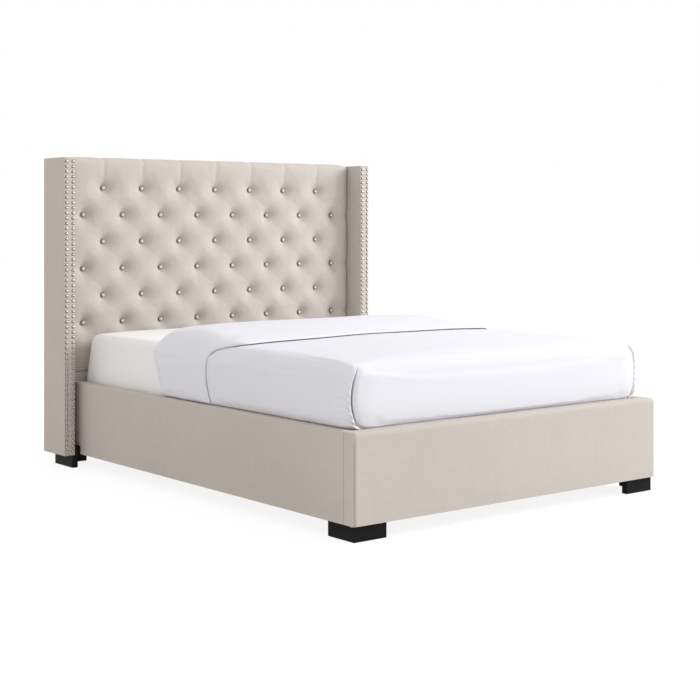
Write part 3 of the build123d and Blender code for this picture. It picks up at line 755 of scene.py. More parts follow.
@dataclass
class TuftPattern:
    """Where the tuft buttons are: rows that alternate by half a pitch."""

    columns: int = 8
    rows: int = 7

    def __post_init__(self) -> None:
        """Read the pitches and the top row from the frame."""
        low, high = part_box("tufted_pad")
        near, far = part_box("tuft_button_crystals")
        self.pitch = (high.x - low.x) / self.columns
        self.crystal_radius = (far.x - near.x - (self.columns - 1) * self.pitch) / 2
        self.top_row = far.z - self.crystal_radius
        self.row_pitch = (far.z - near.z - 2 * self.crystal_radius) / (self.rows - 1)

    def points(self) -> Array:
        """List the buttons' places.

        Returns:
            Their (x, z) pairs, row by row from the top.
        """
        spots = []
        for row in range(self.rows):
            count = self.columns - 1 + row % 2
            spots += [((column - (count - 1) / 2) * self.pitch,
                       self.top_row - row * self.row_pitch) for column in range(count)]
        return np.array(spots)


@dataclass
class TuftedHeadboard:
    """The deep-buttoned pad, its buttons, the plain pad below it and the cloth behind it."""

    pattern: TuftPattern = field(default_factory=TuftPattern)
    step: float = 0.0095
    bowl: float = 0.0012
    bowl_power: float = 1.1
    bowl_fade: float = 0.05
    bowl_fade_power: float = 1.6
    groove: float = 0.0014
    # The narrow and the wide valley along a fold: each one's power and its share of the groove
    valleys: tuple[tuple[float, float], ...] = ((5.0, 0.32), (1.3, 0.18))
    dimple: float = 0.034
    dimple_width: float = 0.0265
    dimple_power: float = 1.22
    fold: float = 0.0024
    fold_width: float = 0.07
    fold_easing: float = 0.7
    second_fold: float = 0.5
    top_fold: float = 2.4
    side_fold: float = 1.6
    level_width: float = 0.007
    level_depth: float = 3.4
    ripple: float = 0.001
    ripple_reach: float = 0.026
    ripple_width: float = 0.014
    ripple_turns: float = 9.0
    ripple_drift: float = 14.0
    pleat_bow: float = 0.035
    pleat_reach: float = 1.1
    pleat_turn: float = 2.9
    winding: float = 0.15
    wander: float = 0.05
    drift_size: float = 0.08
    drift_scale: float = 5.0
    slope_size: float = 0.1
    slope_scale: float = 4.0
    edge_fading: float = 0.45
    top_round: float = 0.026
    side_round: float = 0.08
    side_draw: float = 0.024
    rim_radius: float = 0.0124
    rim_wire: float = 0.0018
    flat_radius: float = 0.0125
    crystal_height: float = 0.0042
    crystal_table: float = 0.55
    plain_step: float = 0.03
    lower_fill: float = 0.042
    lower_round: float = 0.01
    lower_top_round: float = 0.003
    cloth_hem: float = 0.12
    cloth_sag: float = 0.0006

    def __post_init__(self) -> None:
        """Read the pad's place from the frame, and work out how far its front runs."""
        self.low, self.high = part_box("tufted_pad")
        self.front_run = self.high.z - self.top_round - self.low.z

    def sheet(self) -> tuple[Array, Array, int]:
        """Make the flat sheet that the pad's rule shapes.

        Returns:
            The points, the faces, and how many points one column has.
        """
        length = self.front_run + self.top_round * math.pi / 2 + (
            self.high.y - self.low.y - self.top_round)
        width = self.high.x - self.low.x
        across = np.linspace(self.low.x, self.high.x, round(width / self.step) + 1)
        along = np.linspace(0, length, round(length / self.step) + 1)
        grid_x, grid_t = np.meshgrid(across, along, indexing="ij")
        points = np.stack([grid_x.ravel(), grid_t.ravel(), np.zeros(grid_x.size)], axis=1)
        return points, quads(np.arange(grid_x.size).reshape(grid_x.shape)), len(along)

    def nearest_button(self, tree: FormTree, column: Term, row: Term) -> tuple[Term, Term, Term]:
        """Find the way to the nearest button.

        Args:
            tree: The tree that holds the rule.
            column: Each point's place across, in pitches from the middle.
            row: Its place below the top row, in row pitches.

        Returns:
            The distance, the direction, and the height above the nearest row of eight.
        """
        last_row, half = self.pattern.rows // 2, self.pattern.columns // 2
        ways = []
        for shift, least, most in ((0.0, 1 - half, last_row), (0.5, -half, last_row - 1)):
            nearest_column = (column - shift).nearest().kept(least, half - 1) + shift
            nearest_row = (row / 2.0 - shift).nearest().kept(0, most) * 2.0 + shift * 2
            dx = (column - nearest_column) * tree.size("Pitch")
            dz = (row - nearest_row) * tree.size("Row Pitch")
            ways.append((dx, dz, (dx * dx + dz * dz).call("SQRT")))
        seven, eight = ways
        choice = tree.desk.maths("LESS_THAN", seven[2], eight[2])
        dx, dz = (eight[part] + (seven[part] - eight[part]) * choice for part in (0, 1))
        return seven[2].least(eight[2]), tree.desk.maths("ARCTAN2", dz, dx), eight[1]

    def depth(self, tree: FormTree, place: Term) -> Term:
        """Work out the relief: pillows, the folds between them, and the dimples of the buttons.

        Args:
            tree: The tree that holds the rule.
            place: The point on the flat sheet.

        Returns:
            How far the cloth sinks at each point.
        """
        desk, size = tree.desk, tree.size
        x, along, _ = desk.split(place)
        column, row = x / size("Pitch"), (size("Top Row") - along) / size("Row Pitch")
        reach, turn, above_row = self.nearest_button(tree, column, row)
        near = (reach - self.flat_radius).most(0.0).bell(self.dimple_width, self.dimple_power)

        # Folds along the two diagonals, which run upright above and below the buttons
        drift = desk.cloud(place, self.drift_scale) - 0.5
        slope = desk.cloud(desk.scaled(place, (1.0, 2.0, 1.0)), self.slope_scale) - 0.5
        free = 1 - reach.bell(self.wander)
        edge, last_row = (self.pattern.columns - 1) / 2, float(self.pattern.rows - 1)
        over_row = row - row.kept(0.0, last_row)
        over_column = column - column.kept(-edge, edge)
        bow = (((-over_row).kept(0.0, self.pleat_reach) * self.pleat_turn).call("SINE")
               * self.pleat_bow)
        bent_column = (column + drift * free * self.drift_size).kept(-edge, edge) + bow
        bent_row = (row + slope * free * self.slope_size).kept(0.0, last_row)
        winding = (bent_row - (bent_row * math.tau).call("SINE") * self.winding) / 2.0
        first, second = (abs(line - line.nearest()) * 2.0
                         for line in (bent_column + winding, bent_column - winding))
        aside = ((over_row * size("Row Pitch")) ** 2.0
                 + (over_column * size("Pitch")) ** 2.0).call("SQRT")
        bowls = (((1 - first) * (1 - second)) ** self.bowl_power
                 * aside.bell(self.bowl_fade, self.bowl_fade_power))
        narrow, wide = (((1 - first) ** power + (1 - second) ** power) * share
                        for power, share in self.valleys)
        fading = 1 - aside.fade(0.0, 0.15) * self.edge_fading

        # Creases in the folds, deeper at the edges, and level ones from the outer buttons
        crease = first.bell(self.fold_width) + second.bell(self.fold_width) * self.second_fold
        outer = ((-over_row).kept(0.0, 0.5) * self.top_fold
                 + abs(over_column).fade(0.05, 0.3) * self.side_fold)
        level = above_row.bell(self.level_width) * abs(over_column).fade(0.02, 0.16)
        crease = (crease * (1 - reach.fade(0.02, 0.085) * self.fold_easing + outer)
                  + level * self.level_depth) * (1 - near)
        rays = ((turn * self.ripple_turns + drift * self.ripple_drift).call("SINE")
                * (reach - self.ripple_reach).bell(self.ripple_width))
        return (size("Groove") * (narrow + wide) * fading + size("Bowl") * bowls
                + (size("Dimple") - size("Bowl") - size("Groove")) * near
                + size("Fold") * crease * fading + size("Ripple") * rays)

    def shape_rule(self) -> FormTree:
        """Write the tufting as a rule on the sheet.

        Returns:
            The tree that bends the sheet over the frame and sinks its folds and dimples.
        """
        tree = FormTree("diamond_tufting", {
            "Pitch": self.pattern.pitch, "Row Pitch": self.pattern.row_pitch,
            "Top Row": self.pattern.top_row - self.low.z, "Front Run": self.front_run,
            "Top Round": self.top_round, "Half Width": self.high.x, "Bowl": self.bowl,
            "Groove": self.groove, "Dimple": self.dimple, "Fold": self.fold,
            "Ripple": self.ripple, "Side Round": self.side_round, "Side Draw": self.side_draw,
        })
        desk, size = tree.desk, tree.size
        place = tree.make("InputPosition", {})
        depth = self.depth(tree, place)
        x, along, _ = desk.split(place)

        # The sheet goes up the front and over the top, and its sides draw in
        angle = ((along - size("Front Run")) / size("Top Round")).kept(0, math.pi / 2)
        sine, cosine = angle.call("SINE"), angle.call("COSINE")
        over = (along - size("Front Run") - size("Top Round") * math.pi / 2).most(0.0)
        side = ((abs(x) - size("Half Width") + size("Side Round"))
                / size("Side Round")).kept(0.0, 1.0)
        drawn = size("Side Draw") * (1 - (1 - side * side).most(0.0).call("SQRT"))
        back = over / (self.high.y - self.low.y)
        sunk = (depth + drawn * (1 - sine * 0.5)) * (1 - back.kept(0.0, 1.0) * 0.9)
        y = self.low.y + size("Top Round") * (1 - cosine) + over + sunk * cosine
        z = (self.low.z + along.least(size("Front Run"))
             + size("Top Round") * sine - sunk * sine)
        moved = tree.make("SetPosition", {0: size("Geometry"), "Position": desk.joined(x, y, z)})
        tree.close(moved, LINEN)
        return tree

    def pad(self) -> None:
        """Make the tufted pad: shape it by its rule, let the cloth settle, and close its back."""
        flat, faces, count = self.sheet()
        pad = new_piece("tufted_pad_cover", flat, faces, LINEN)
        self.shape_rule().apply(pad)
        points = read_points(pad.data)
        reach = np.full(len(points), 1.0)
        for spot_x, spot_z in self.pattern.points():
            reach = np.minimum(reach, np.hypot(points[:, 0] - spot_x, points[:, 2] - spot_z))
        rim = np.zeros((len(points) // count, count))
        rim[[0, -1], :] = rim[:, [0, -1]] = 1
        held = np.maximum(rim.ravel(), reach < self.rim_radius)
        ClothRun(pressure=0.9, growth=0.003, bending=0.3).run(pad, held)
        refine(pad)
        self.close_back(pad)
        settle(pad, Body.FRAME, Slot.LINEN, "tufted_pad", fill=0.85)

    def close_back(self, pad: bpy.types.Object) -> None:
        """Close the pad with walls to the frame and a back, so that it is a whole solid.

        Args:
            pad: The open pad.
        """
        points = read_points(pad.data)
        faces = [tuple(face.vertices) for face in pad.data.polygons]
        panel_low, panel_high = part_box("headboard_panel")
        edge = self.boundary(faces)
        inner = {spot: len(points) + place for place, spot in enumerate(edge)}
        added = [(x, max(y, panel_low.y), min(z, panel_high.z)) for x, y, z in points[edge]]
        points = np.concatenate([points, np.array(added)])
        faces += [(second, first, inner[first], inner[second])
                  for first, second in zip(edge, edge[1:] + edge[:1])]
        faces += self.back_faces([inner[spot] for spot in edge], points)
        pad.data.clear_geometry()
        pad.data.from_pydata(points.tolist(), [], faces)
        pad.data.validate()
        pad.data.shade_smooth()

    @staticmethod
    def boundary(faces: list[tuple]) -> list[int]:
        """Walk round the open edge of a mesh.

        Args:
            faces: The mesh's faces.

        Returns:
            The points on the edge, in order.
        """
        ways = {way for face in faces for way in zip(face, face[1:] + face[:1])}
        following = {first: second for first, second in ways if (second, first) not in ways}
        loop = [min(following)]
        while following[loop[-1]] != loop[0]:
            loop.append(following[loop[-1]])
        return loop

    def back_faces(self, ring: list[int], points: Array) -> list[tuple]:
        """Fill the inner ring with one strip of faces from side to side.

        Args:
            ring: The points of the ring.
            points: The places of all points.

        Returns:
            The faces.
        """
        sides, ends = [], []
        for sign in SIDES.values():
            side = [spot for spot in ring if sign * points[spot][0] > self.high.x - TINY]
            sides.append(sorted(side, key=lambda spot: points[spot][2] + points[spot][1]))
        left, right = sides
        used = set(left + right)
        for sign in (-1, 1):
            row = [spot for spot in ring if spot not in used
                   and (points[spot][2] >= self.low.z + self.top_round) == (sign > 0)]
            ends.append(sorted(row, key=lambda spot: sign * points[spot][0]))
        strip = [(a, b, d, c) for a, b, c, d in zip(left, right, left[1:], right[1:])]
        return strip + [(left[0], right[0], *ends[0]), (right[-1], left[-1], *ends[1])]

    def buttons(self) -> None:
        """Set a metal ring and a cut crystal at each button point."""
        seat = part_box("tuft_button_crystals")[0].y
        spots = np.array([(x, seat, z) for x, z in self.pattern.points()])
        ring = FormTree("button_ring", {
            "Radius": self.rim_radius - self.rim_wire, "Wire": self.rim_wire,
            "Cup": self.crystal_height})
        circle, wire = (
            ring.make("CurvePrimitiveCircle", {"Resolution": count, "Radius": ring.size(radius)})
            for count, radius in ((24, "Radius"), (8, "Wire")))
        hoop = ring.make("CurveToMesh", {"Curve": circle, "Profile Curve": wire})
        cup = ring.make("MeshCylinder", {
            "Vertices": 24, "Radius": ring.size("Radius"), "Depth": ring.size("Cup") * 2.0})
        radius = self.pattern.crystal_radius
        gem = FormTree("button_crystal", {
            "Radius": radius, "Table": radius * self.crystal_table,
            "Height": self.crystal_height})
        crown = gem.make("MeshCone", {
            "Vertices": 10, "Radius Top": gem.size("Table"), "Radius Bottom": gem.size("Radius"),
            "Depth": gem.size("Height")})
        raised = gem.make("Transform", {
            0: crown, "Translation": gem.desk.joined(0.0, 0.0, gem.size("Height"))})
        for name, tree, form, finish, slot, node in (
                ("button_rings", ring, ring.both(hoop, cup), RING_METAL, Slot.ANTIQUE,
                 "tuft_button_rims"),
                ("button_crystals", gem, raised, CRYSTAL, Slot.CRYSTAL, "tuft_button_crystals")):
            centres = tree.make("MeshToPoints", {0: tree.size("Geometry")})
            tree.close(tree.make("InstanceOnPoints", {
                "Points": centres, "Instance": form,
                "Rotation": Euler((math.pi / 2, 0.0, 0.0))}), finish)
            piece = new_piece(name, spots, [], ANTIQUE)
            tree.apply(piece)
            settle(piece, Body.FRAME, slot, node)

    def lower_pad(self) -> None:
        """Make the plain padded panel below the tufting."""
        low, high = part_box("headboard_lower_pad")
        front = (low.x + TINY, low.y - self.lower_fill, low.z)
        skin = rounded_block(front, high, (self.lower_round, self.lower_fill / 2, TINY),
                             (self.lower_round, TINY, self.lower_top_round), self.plain_step)
        settle(skin.piece("lower_pad_cover", LINEN), Body.FRAME, Slot.LINEN,
               "headboard_lower_pad", fill=0.9)

    def dust_cover(self) -> None:
        """Make the cloth stretched over the headboard's back."""
        low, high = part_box("headboard_back_cover")
        far = (TINY, (high.y - low.y) * 0.6, TINY)
        skin = rounded_block(low, high, (TINY,) * 3, far, self.plain_step)
        inside = 1.0
        for way in (skin.x - low.x, high.x - skin.x, skin.z - low.z, high.z - skin.z):
            inside = inside * step_up(way, 0, self.cloth_hem)
        sag = self.cloth_sag + self.cloth_sag * skin.rough((6.0, 1.0, 6.0), 3.0) * inside
        skin.y -= sag * (skin.y > (low.y + high.y) / 2)
        cover = skin.piece("dust_cover", DUST_CLOTH)
        settle(cover, Body.FRAME, Slot.DUST_COVER, "headboard_back_cover")

    def build(self) -> None:
        """Make all pieces of the headboard."""
        for make in (self.pad, self.buttons, self.lower_pad, self.dust_cover):
            make()


@dataclass
class Wing:
    """One wing: its padded cover and two rows of nailheads on its front."""

    name: str
    side: int
    edge: float = 0.0045
    step: float = 0.012
    puff: float = 0.0016
    slack: float = 0.35
    wave: float = 0.35
    wave_scale: Triple = (5.0, 9.0, 3.5)
    wrinkle: float = 0.12
    wrinkle_scale: Triple = (14.0, 20.0, 6.0)
    nails_per_row: int = 57
    nail_inset: float = 0.0056
    nail_radius: float = 0.0075
    nail_crown: float = 0.005
    nail_sink: float = 0.0016
    nail_lift: float = 0.0006
    nail_row_width: float = 0.006
    ridge: float = 0.0014
    ridge_width: float = 0.009
    tilt: Triple = (0.09, 3.0, 0.09)

    def __post_init__(self) -> None:
        """Read from the frame where the two rows of nails are across the wing."""
        self.near, self.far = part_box(f"nailheads_{self.name}")
        self.rows = (self.near.x + self.nail_inset, self.far.x - self.nail_inset)

    def cover(self) -> None:
        """Make the wing's upholstered cover."""
        low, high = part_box(f"wing_cover_{self.name}")
        skin = rounded_block(low, high, (self.edge, self.edge, TINY), (self.edge,) * 3, self.step)
        outward = skin.normals()
        swell = step_up(np.minimum(skin.z - low.z, high.z - skin.z), 0.0, 0.05) * 0.5
        wave = skin.rough(self.wave_scale, 7.0 + self.side)
        small = skin.rough(self.wrinkle_scale, 2.0 + self.side)
        middle = (skin.y - low.y) / (high.y - low.y)
        crown = 4 * middle * (1 - middle)
        flat = np.abs(outward[:, 0]) > 0.9
        push = (swell * crown * flat + self.wave * wave * swell * crown
                + self.wrinkle * small * crown)
        skin.swell(outward, self.puff * (push - self.slack))
        front = step_up(-outward[:, 1], 0.8, 0.99)
        for row in self.rows:
            skin.y += front * self.nail_sink * bell(skin.x - row, self.nail_row_width)
        skin.y -= front * self.ridge * bell(skin.x - sum(self.rows) / 2, self.ridge_width)
        skin.z[:] = np.maximum(skin.z, low.z - TINY)
        settle(skin.piece(f"wing_cover_{self.name}_linen", LINEN), Body.FRAME, Slot.LINEN,
               f"wing_cover_{self.name}", fill=1.0)

    def nailheads(self) -> None:
        """Set the nailheads in their two rows."""
        tree = FormTree(f"nailheads_{self.name}", {
            "Count": self.nails_per_row, "Low": self.near.z + self.nail_inset,
            "High": self.far.z - self.nail_inset, "First Row": self.rows[0],
            "Second Row": self.rows[1], "Face": self.far.y + self.nail_lift,
            "Radius": self.nail_radius, "Crown": self.nail_crown})
        desk, size = tree.desk, tree.size
        dome = tree.make("MeshUVSphere", {"Segments": 12, "Rings": 8, "Radius": size("Radius")})
        flat = tree.make("Transform", {
            0: dome, "Scale": desk.joined(1.0, size("Crown") / size("Radius"), 1.0)})
        lines = [tree.make("MeshLine", {
            "Count": size("Count"),
            "Start Location": desk.joined(size(row), size("Face"), size("Low")),
            "Offset": desk.joined(size(row), size("Face"), size("High")),
        }, {"mode": "END_POINTS"}) for row in ("First Row", "Second Row")]
        tilt = desk.term("FunctionNodeRandomValue", {"data_type": "FLOAT_VECTOR"},
                         {"Min": times(self.tilt, -1.0), "Max": self.tilt, "Seed": 11})
        spread = tree.make("InstanceOnPoints", {
            "Points": tree.both(*lines), "Instance": flat, "Rotation": tilt})
        tree.close(tree.make("SetShadeSmooth", {
            0: tree.make("RealizeInstances", {0: spread})}), ANTIQUE)
        nails = new_piece(f"nailheads_{self.name}_pewter", np.zeros((1, 3)), [], ANTIQUE)
        tree.apply(nails)
        settle(nails, Body.FRAME, Slot.ANTIQUE, f"nailheads_{self.name}")

    def build(self) -> None:
        """Make the wing's pieces."""
        self.cover()
        self.nailheads()


@dataclass
class BoxFrame:
    """The upholstered side rails and footboard."""

    board_round: float = 0.019
    board_corner: float = 0.014
    board_step: float = 0.012
    board_slack: float = 0.001
    joint_dip: float = 0.0022
    board_dip_reach: float = 0.014
    rail_dip_reach: float = 0.012
    tuck_in: float = 0.003
    bottom_round: float = 0.002
    overhang: float = 0.0008
    rail_round: float = 0.009
    rail_step: float = 0.02
    rail_slack: float = 0.0011
    seam_depth: float = 0.0064
    seam_width: float = 0.0045
    seam_reach: float = 0.03
    pucker_depth: float = 0.0016
    pucker_reach: float = 0.035
    pucker_height: float = 0.022
    pucker_turns: tuple[float, float] = (420.0, 160.0)

    @staticmethod
    def soften(skin: Skin, seed: float, amount: float) -> None:
        """Give a cover the slow unevenness of stretched cloth over foam.

        Args:
            skin: The cover.
            seed: Where its noise starts.
            amount: How far it goes in.
        """
        outward = skin.normals()
        wave = skin.rough(4.0, seed) * 0.7 + skin.rough(11.0, seed) * 0.3
        skin.swell(outward, amount * (0.5 * wave - 0.5) * (1 - np.maximum(0, -outward[:, 2])))

    def footboard(self) -> None:
        """Make the footboard's padded cover, with a seam and small folds at each front corner."""
        low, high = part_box("footboard_cover")
        corner = self.board_corner
        skin = rounded_block(
            (low.x, low.y, low.z - self.overhang), high,
            (corner, corner, self.bottom_round), (corner, corner / 2, self.board_round),
            self.board_step, 6)
        self.soften(skin, 1.0, self.board_slack)
        outward = skin.normals()
        skin.x -= outward[:, 0] * self.joint_dip * bell(skin.y - high.y, self.board_dip_reach)
        for side in SIDES.values():
            across = side * high.x - skin.x
            away = np.abs(across * side + low.y - skin.y + 0.001)
            near = bell(np.hypot(across, skin.y - low.y), self.seam_reach)
            rise = step_up(high.z - skin.z, 0.012, 0.05)
            skin.swell(outward, -self.seam_depth * bell(away, self.seam_width) * near * rise)
            across = (side * high.x - skin.x) * side
            near = bell(np.hypot(across, skin.y - low.y), self.pucker_reach)
            rise = bell(skin.z - low.z, self.pucker_height)
            level, upright = self.pucker_turns
            folds = np.sin((across - (skin.y - low.y)) * level + skin.z * upright)
            skin.swell(outward, -self.pucker_depth * near * rise * folds)
        board = skin.piece("footboard_linen", LINEN)
        refine(board)
        settle(board, Body.FRAME, Slot.LINEN, "footboard_cover", fill=1.0)

    def rail(self, name: str) -> None:
        """Make a side rail's cover.

        Args:
            name: The rail's side.
        """
        low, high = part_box(f"side_rail_cover_{name}")
        radius = self.rail_round
        skin = rounded_block(
            (low.x, low.y - self.tuck_in, low.z - self.overhang), high,
            (radius, radius / 2, self.bottom_round), (radius, TINY, radius), self.rail_step)
        self.soften(skin, 5.0 + SIDES[name], self.rail_slack)
        dip = self.joint_dip * bell(skin.y - low.y, self.rail_dip_reach)
        skin.x -= skin.normals()[:, 0] * dip
        settle(skin.piece(f"side_rail_{name}_linen", LINEN), Body.FRAME, Slot.LINEN,
               f"side_rail_cover_{name}", fill=1.0)

    def build(self) -> None:
        """Make the footboard and the rails."""
        self.footboard()
        for name in SIDES:
            self.rail(name)


@dataclass
class Bedding:
    """Mattress, fitted sheet, duvet and the duvet's end folded back as a cuff."""

    mattress_edge: float = 0.024
    mattress_corner: float = 0.045
    mattress_step: float = 0.03
    mattress_slack: float = 0.001
    tape_depth: float = 0.002
    tape_width: float = 0.006
    corner_slump: float = 0.055
    corner_spread: float = 0.022
    corner_reach: float = 0.1
    corner_sink: float = 0.006
    sheet_step: float = 0.014
    sheet_wall: float = 0.0008
    sheet_slack: float = 0.0004
    sheet_wave: float = 0.0006
    sheet_folds: float = 0.0009
    gather: float = 0.0014
    gather_turns: float = 620.0
    gather_height: float = 0.05
    gather_corner: float = 0.16
    shoulder: float = 0.045
    cuff_shoulder: float = 0.14
    crown: float = 0.016
    unevenness: float = 0.0035
    foot_drop: float = 0.009
    belly: float = 0.005
    body_inset: float = 0.016
    body_lap: float = 0.03
    cuff_inset: float = 0.005
    cuff_rise: float = 0.060
    cuff_length: float = 0.47
    cuff_sink: float = 0.033
    cuff_lean: float = 0.07
    cuff_back_round: float = 0.05
    cuff_back_reach: float = 0.06
    cuff_back_drop: float = 0.028
    # The fold's edge down the side and over the top: its offset, and its wave's size and turns
    fold_beside: Triple = (0.010, 0.034, 2.8)
    fold_above: Triple = (-0.078, 0.028, 1.9)
    lip: float = 0.012
    slot: float = 0.0016
    seam_round: float = 0.004
    seam_middle: float = 0.42
    seam_pull: float = 0.28
    seam_lap: float = 0.010
    seam_depth: float = 0.026
    seam_width: float = 0.003
    # Rises and hollows along a corner seam: each one's size, its middle and its width
    foot_widening: Triple = (0.005, 0.0, 0.10)
    foot_deepening: Triple = (0.008, 0.0, 0.12)
    near_hollow: Triple = (0.006, 0.006, 0.014)
    far_hollow: Triple = (0.002, -0.04, 0.02)
    seam_bead: Triple = (0.0034, -0.009, 0.006)
    pleats: Triple = (0.013, -0.015, 0.011)
    pleat_level: float = 0.6
    pleat_turns: tuple[float, float] = (118.0, 110.0)
    gather_reach: float = 0.16
    gather_core: float = 0.05
    cuff_edge: float = 0.008
    undercut: float = 0.016
    step: float = 0.028
    lines: int = 9

    def __post_init__(self) -> None:
        """Read the places that the bedding meets from the frame."""
        self.low, self.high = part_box("duvet")
        self.board_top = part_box("footboard_cover")[1].z
        self.rail_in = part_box("side_rail_cover_right")[0].x - TINY
        self.top = self.high.z - self.cuff_rise
        self.seam_y = self.high.y - self.cuff_length

    def mattress(self) -> None:
        """Make the mattress, with a tape round its top and bottom edges."""
        low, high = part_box("mattress")
        rounding = (self.mattress_corner, self.mattress_corner, self.mattress_edge)
        skin = rounded_block(low, high, rounding, rounding, self.mattress_step)
        self.slump(skin, low, high)
        outward = skin.normals()
        skin.points -= outward * self.mattress_slack
        for level in (low.z + self.mattress_edge, high.z - self.mattress_edge):
            skin.swell(outward, -self.tape_depth * bell(skin.z - level, self.tape_width))
        settle(skin.piece("mattress_ticking", TICKING), Body.BEDDING, Slot.TICKING, "mattress",
               fill=1.0)

    def slump(self, skin: Skin, low: Vector, high: Vector) -> None:
        """Draw in the upper corners at the head end.

        Args:
            skin: The cover.
            low: Its lowest corner.
            high: Its highest corner.
        """
        height = np.clip((skin.z - low.z) / (high.z - low.z), 0, 1)
        near = np.exp(-np.hypot(high.x - np.abs(skin.x), (high.y - skin.y) * 0.7)
                      / self.corner_reach)
        skin.y -= near * (self.corner_slump * height ** 1.6 - self.corner_spread * (1 - height))
        skin.x *= 1 + 0.01 * near * (1 - height)
        skin.z -= self.corner_sink * near * height ** 3

    def fitted_sheet(self) -> None:
        """Make the fitted sheet, gathered at its lower edge near the corners."""
        low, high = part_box("fitted_sheet")
        corner = self.mattress_corner
        skin = rounded_block(low, high, (corner, corner, TINY),
                             (corner, corner, self.mattress_edge), self.sheet_step)
        under = skin.z < low.z + TINY * 2
        kept = [face for face in skin.faces if not under[face].all()]
        self.slump(skin, low, high)
        middle = (low.y + high.y) / 2
        near_corner = bell(np.hypot(np.abs(skin.x) - high.x,
                                    np.abs(skin.y - middle) - (high.y - middle)),
                           self.gather_corner)
        around = np.arctan2(skin.y - middle, skin.x)
        gather = np.sin(around * self.gather_turns) * near_corner
        gather *= bell(skin.z - low.z, self.gather_height)
        outward = skin.normals()
        wave = skin.rough((7.0, 7.0, 3.0), 9.0)
        folds = skin.rough((4.0, 16.0, 9.0), 21.0) * np.abs(outward[:, 0])
        skin.swell(outward, self.gather * gather + self.sheet_wave * wave
                   + self.sheet_folds * folds - self.sheet_slack)
        sheet = new_piece("fitted_sheet_cotton", skin.points, kept, PERCALE)
        wall = sheet.modifiers.new("wall", "SOLIDIFY")
        wall.thickness = self.sheet_wall
        wall.offset = -1.0
        keep_result(sheet)
        settle(sheet, Body.BEDDING, Slot.SHEET, "fitted_sheet")

    def height(self, skin: Skin) -> Array:
        """Return each point's height above the rails, as a share of the duvet's side."""
        return (skin.z - self.board_top) / (self.top - self.board_top)

    def seam_place(self, skin: Skin) -> Array:
        """Find where along the bed the fold's seam lies.

        Args:
            skin: The cover.

        Returns:
            The seam's place along the bed for each point.
        """
        share = np.clip(self.height(skin), 0, 1)
        offset, size, turns = self.fold_beside
        beside = self.seam_y + offset + size * np.sin(share * turns)
        offset, size, turns = self.fold_above
        above = self.seam_y + offset + size * np.sin(skin.x * turns + 0.3)
        turn = step_up(self.high.x - np.abs(skin.x), 0.012, 0.095)
        return beside * (1 - turn) + above * turn

    def tuck(self, skin: Skin, side: float) -> None:
        """Belly the walls, and draw in their foot beside the mattress.

        Args:
            skin: The duvet's cover.
            side: Its half width.
        """
        slot = self.slot * (0.5 + 1.8 * skin.rough((9.0, 9.0, 0.0), 41.0))
        rise = np.clip((skin.z - self.board_top - slot) / self.lip, 0, 1)
        pinch = 1 - np.sqrt(1 - (1 - rise) ** 2)
        swell = self.belly * np.sin(np.clip(self.height(skin), 0, 1) * math.pi) ** 0.8
        at_foot = np.clip(1 - (skin.y - self.low.y) / 0.2, 0, 1)
        skin.x *= 1 - ((side - self.rail_in) * pinch - swell) / side
        skin.y += at_foot * (0.006 * pinch - swell * 0.3)

    def round_over(self, skin: Skin, side: float, top: float, reach: Array,
                   outside: Array | bool = True) -> None:
        """Round over the two long upper edges, and raise the top unevenly towards the middle.

        Args:
            skin: The cover of a block.
            side: The block's half width.
            top: Its top.
            reach: How far in the rounding starts at each point.
            outside: Whether each point is on the outline; those inside are drawn along.
        """
        fall = reach * 0.82
        across = np.clip((np.abs(skin.x) - (side - reach)) / reach, 0, 1)
        up = np.maximum((skin.z - (top - fall)) / fall, 0)
        limit = np.where(outside, 1, np.maximum(across, up))
        shrink = 1 - np.minimum(1, limit / np.maximum(np.hypot(across, up), TINY))
        skin.x -= np.sign(skin.x) * reach * across * shrink * (up > 0)
        skin.z -= fall * up * shrink * (across > 0)
        share = np.clip(np.abs(skin.x) / (side - self.shoulder), 0, 1)
        on_top = step_up(skin.z, top - self.shoulder, top - 0.002)
        uneven = skin.rough((3.0, 4.5, 1.0), 31.0)
        skin.z += on_top * (self.crown * (1 - share ** 2.2) + self.unevenness * uneven)

    def fill(self, name: str, skin: Skin, seams: Array | float, *nodes: str) -> None:
        """Let a duvet piece fill and wrinkle, held at its seams, and finish it.

        Args:
            name: The piece's name.
            skin: Its cover.
            seams: How firmly its own seams hold each point, from 0 to 1.
            nodes: The CAD nodes that it replaces.
        """
        piece = skin.piece(name, DUVET_COTTON)
        away = np.abs(skin.y - self.seam_place(skin))
        held = np.maximum(skin.z < self.board_top + 0.006, 1 - step_up(away, 0.02, 0.07))
        ClothRun(pressure=0.6, growth=0.001, bending=0.5).run(piece, np.maximum(held, seams))
        refine(piece)
        settle(piece, Body.BEDDING, Slot.DUVET, *nodes, fill=0.7)

    def levels(self) -> list[float]:
        """Return extra mesh heights, close together where the duvet meets the rails."""
        near = [self.board_top + self.lip * share
                for share in (-0.3, 0.02, 0.15, 0.27, 0.4, 0.55, 0.75, 1.0, 1.3)]
        return near + list(np.arange(near[-1] + 0.008, self.top - self.shoulder, 0.0062))

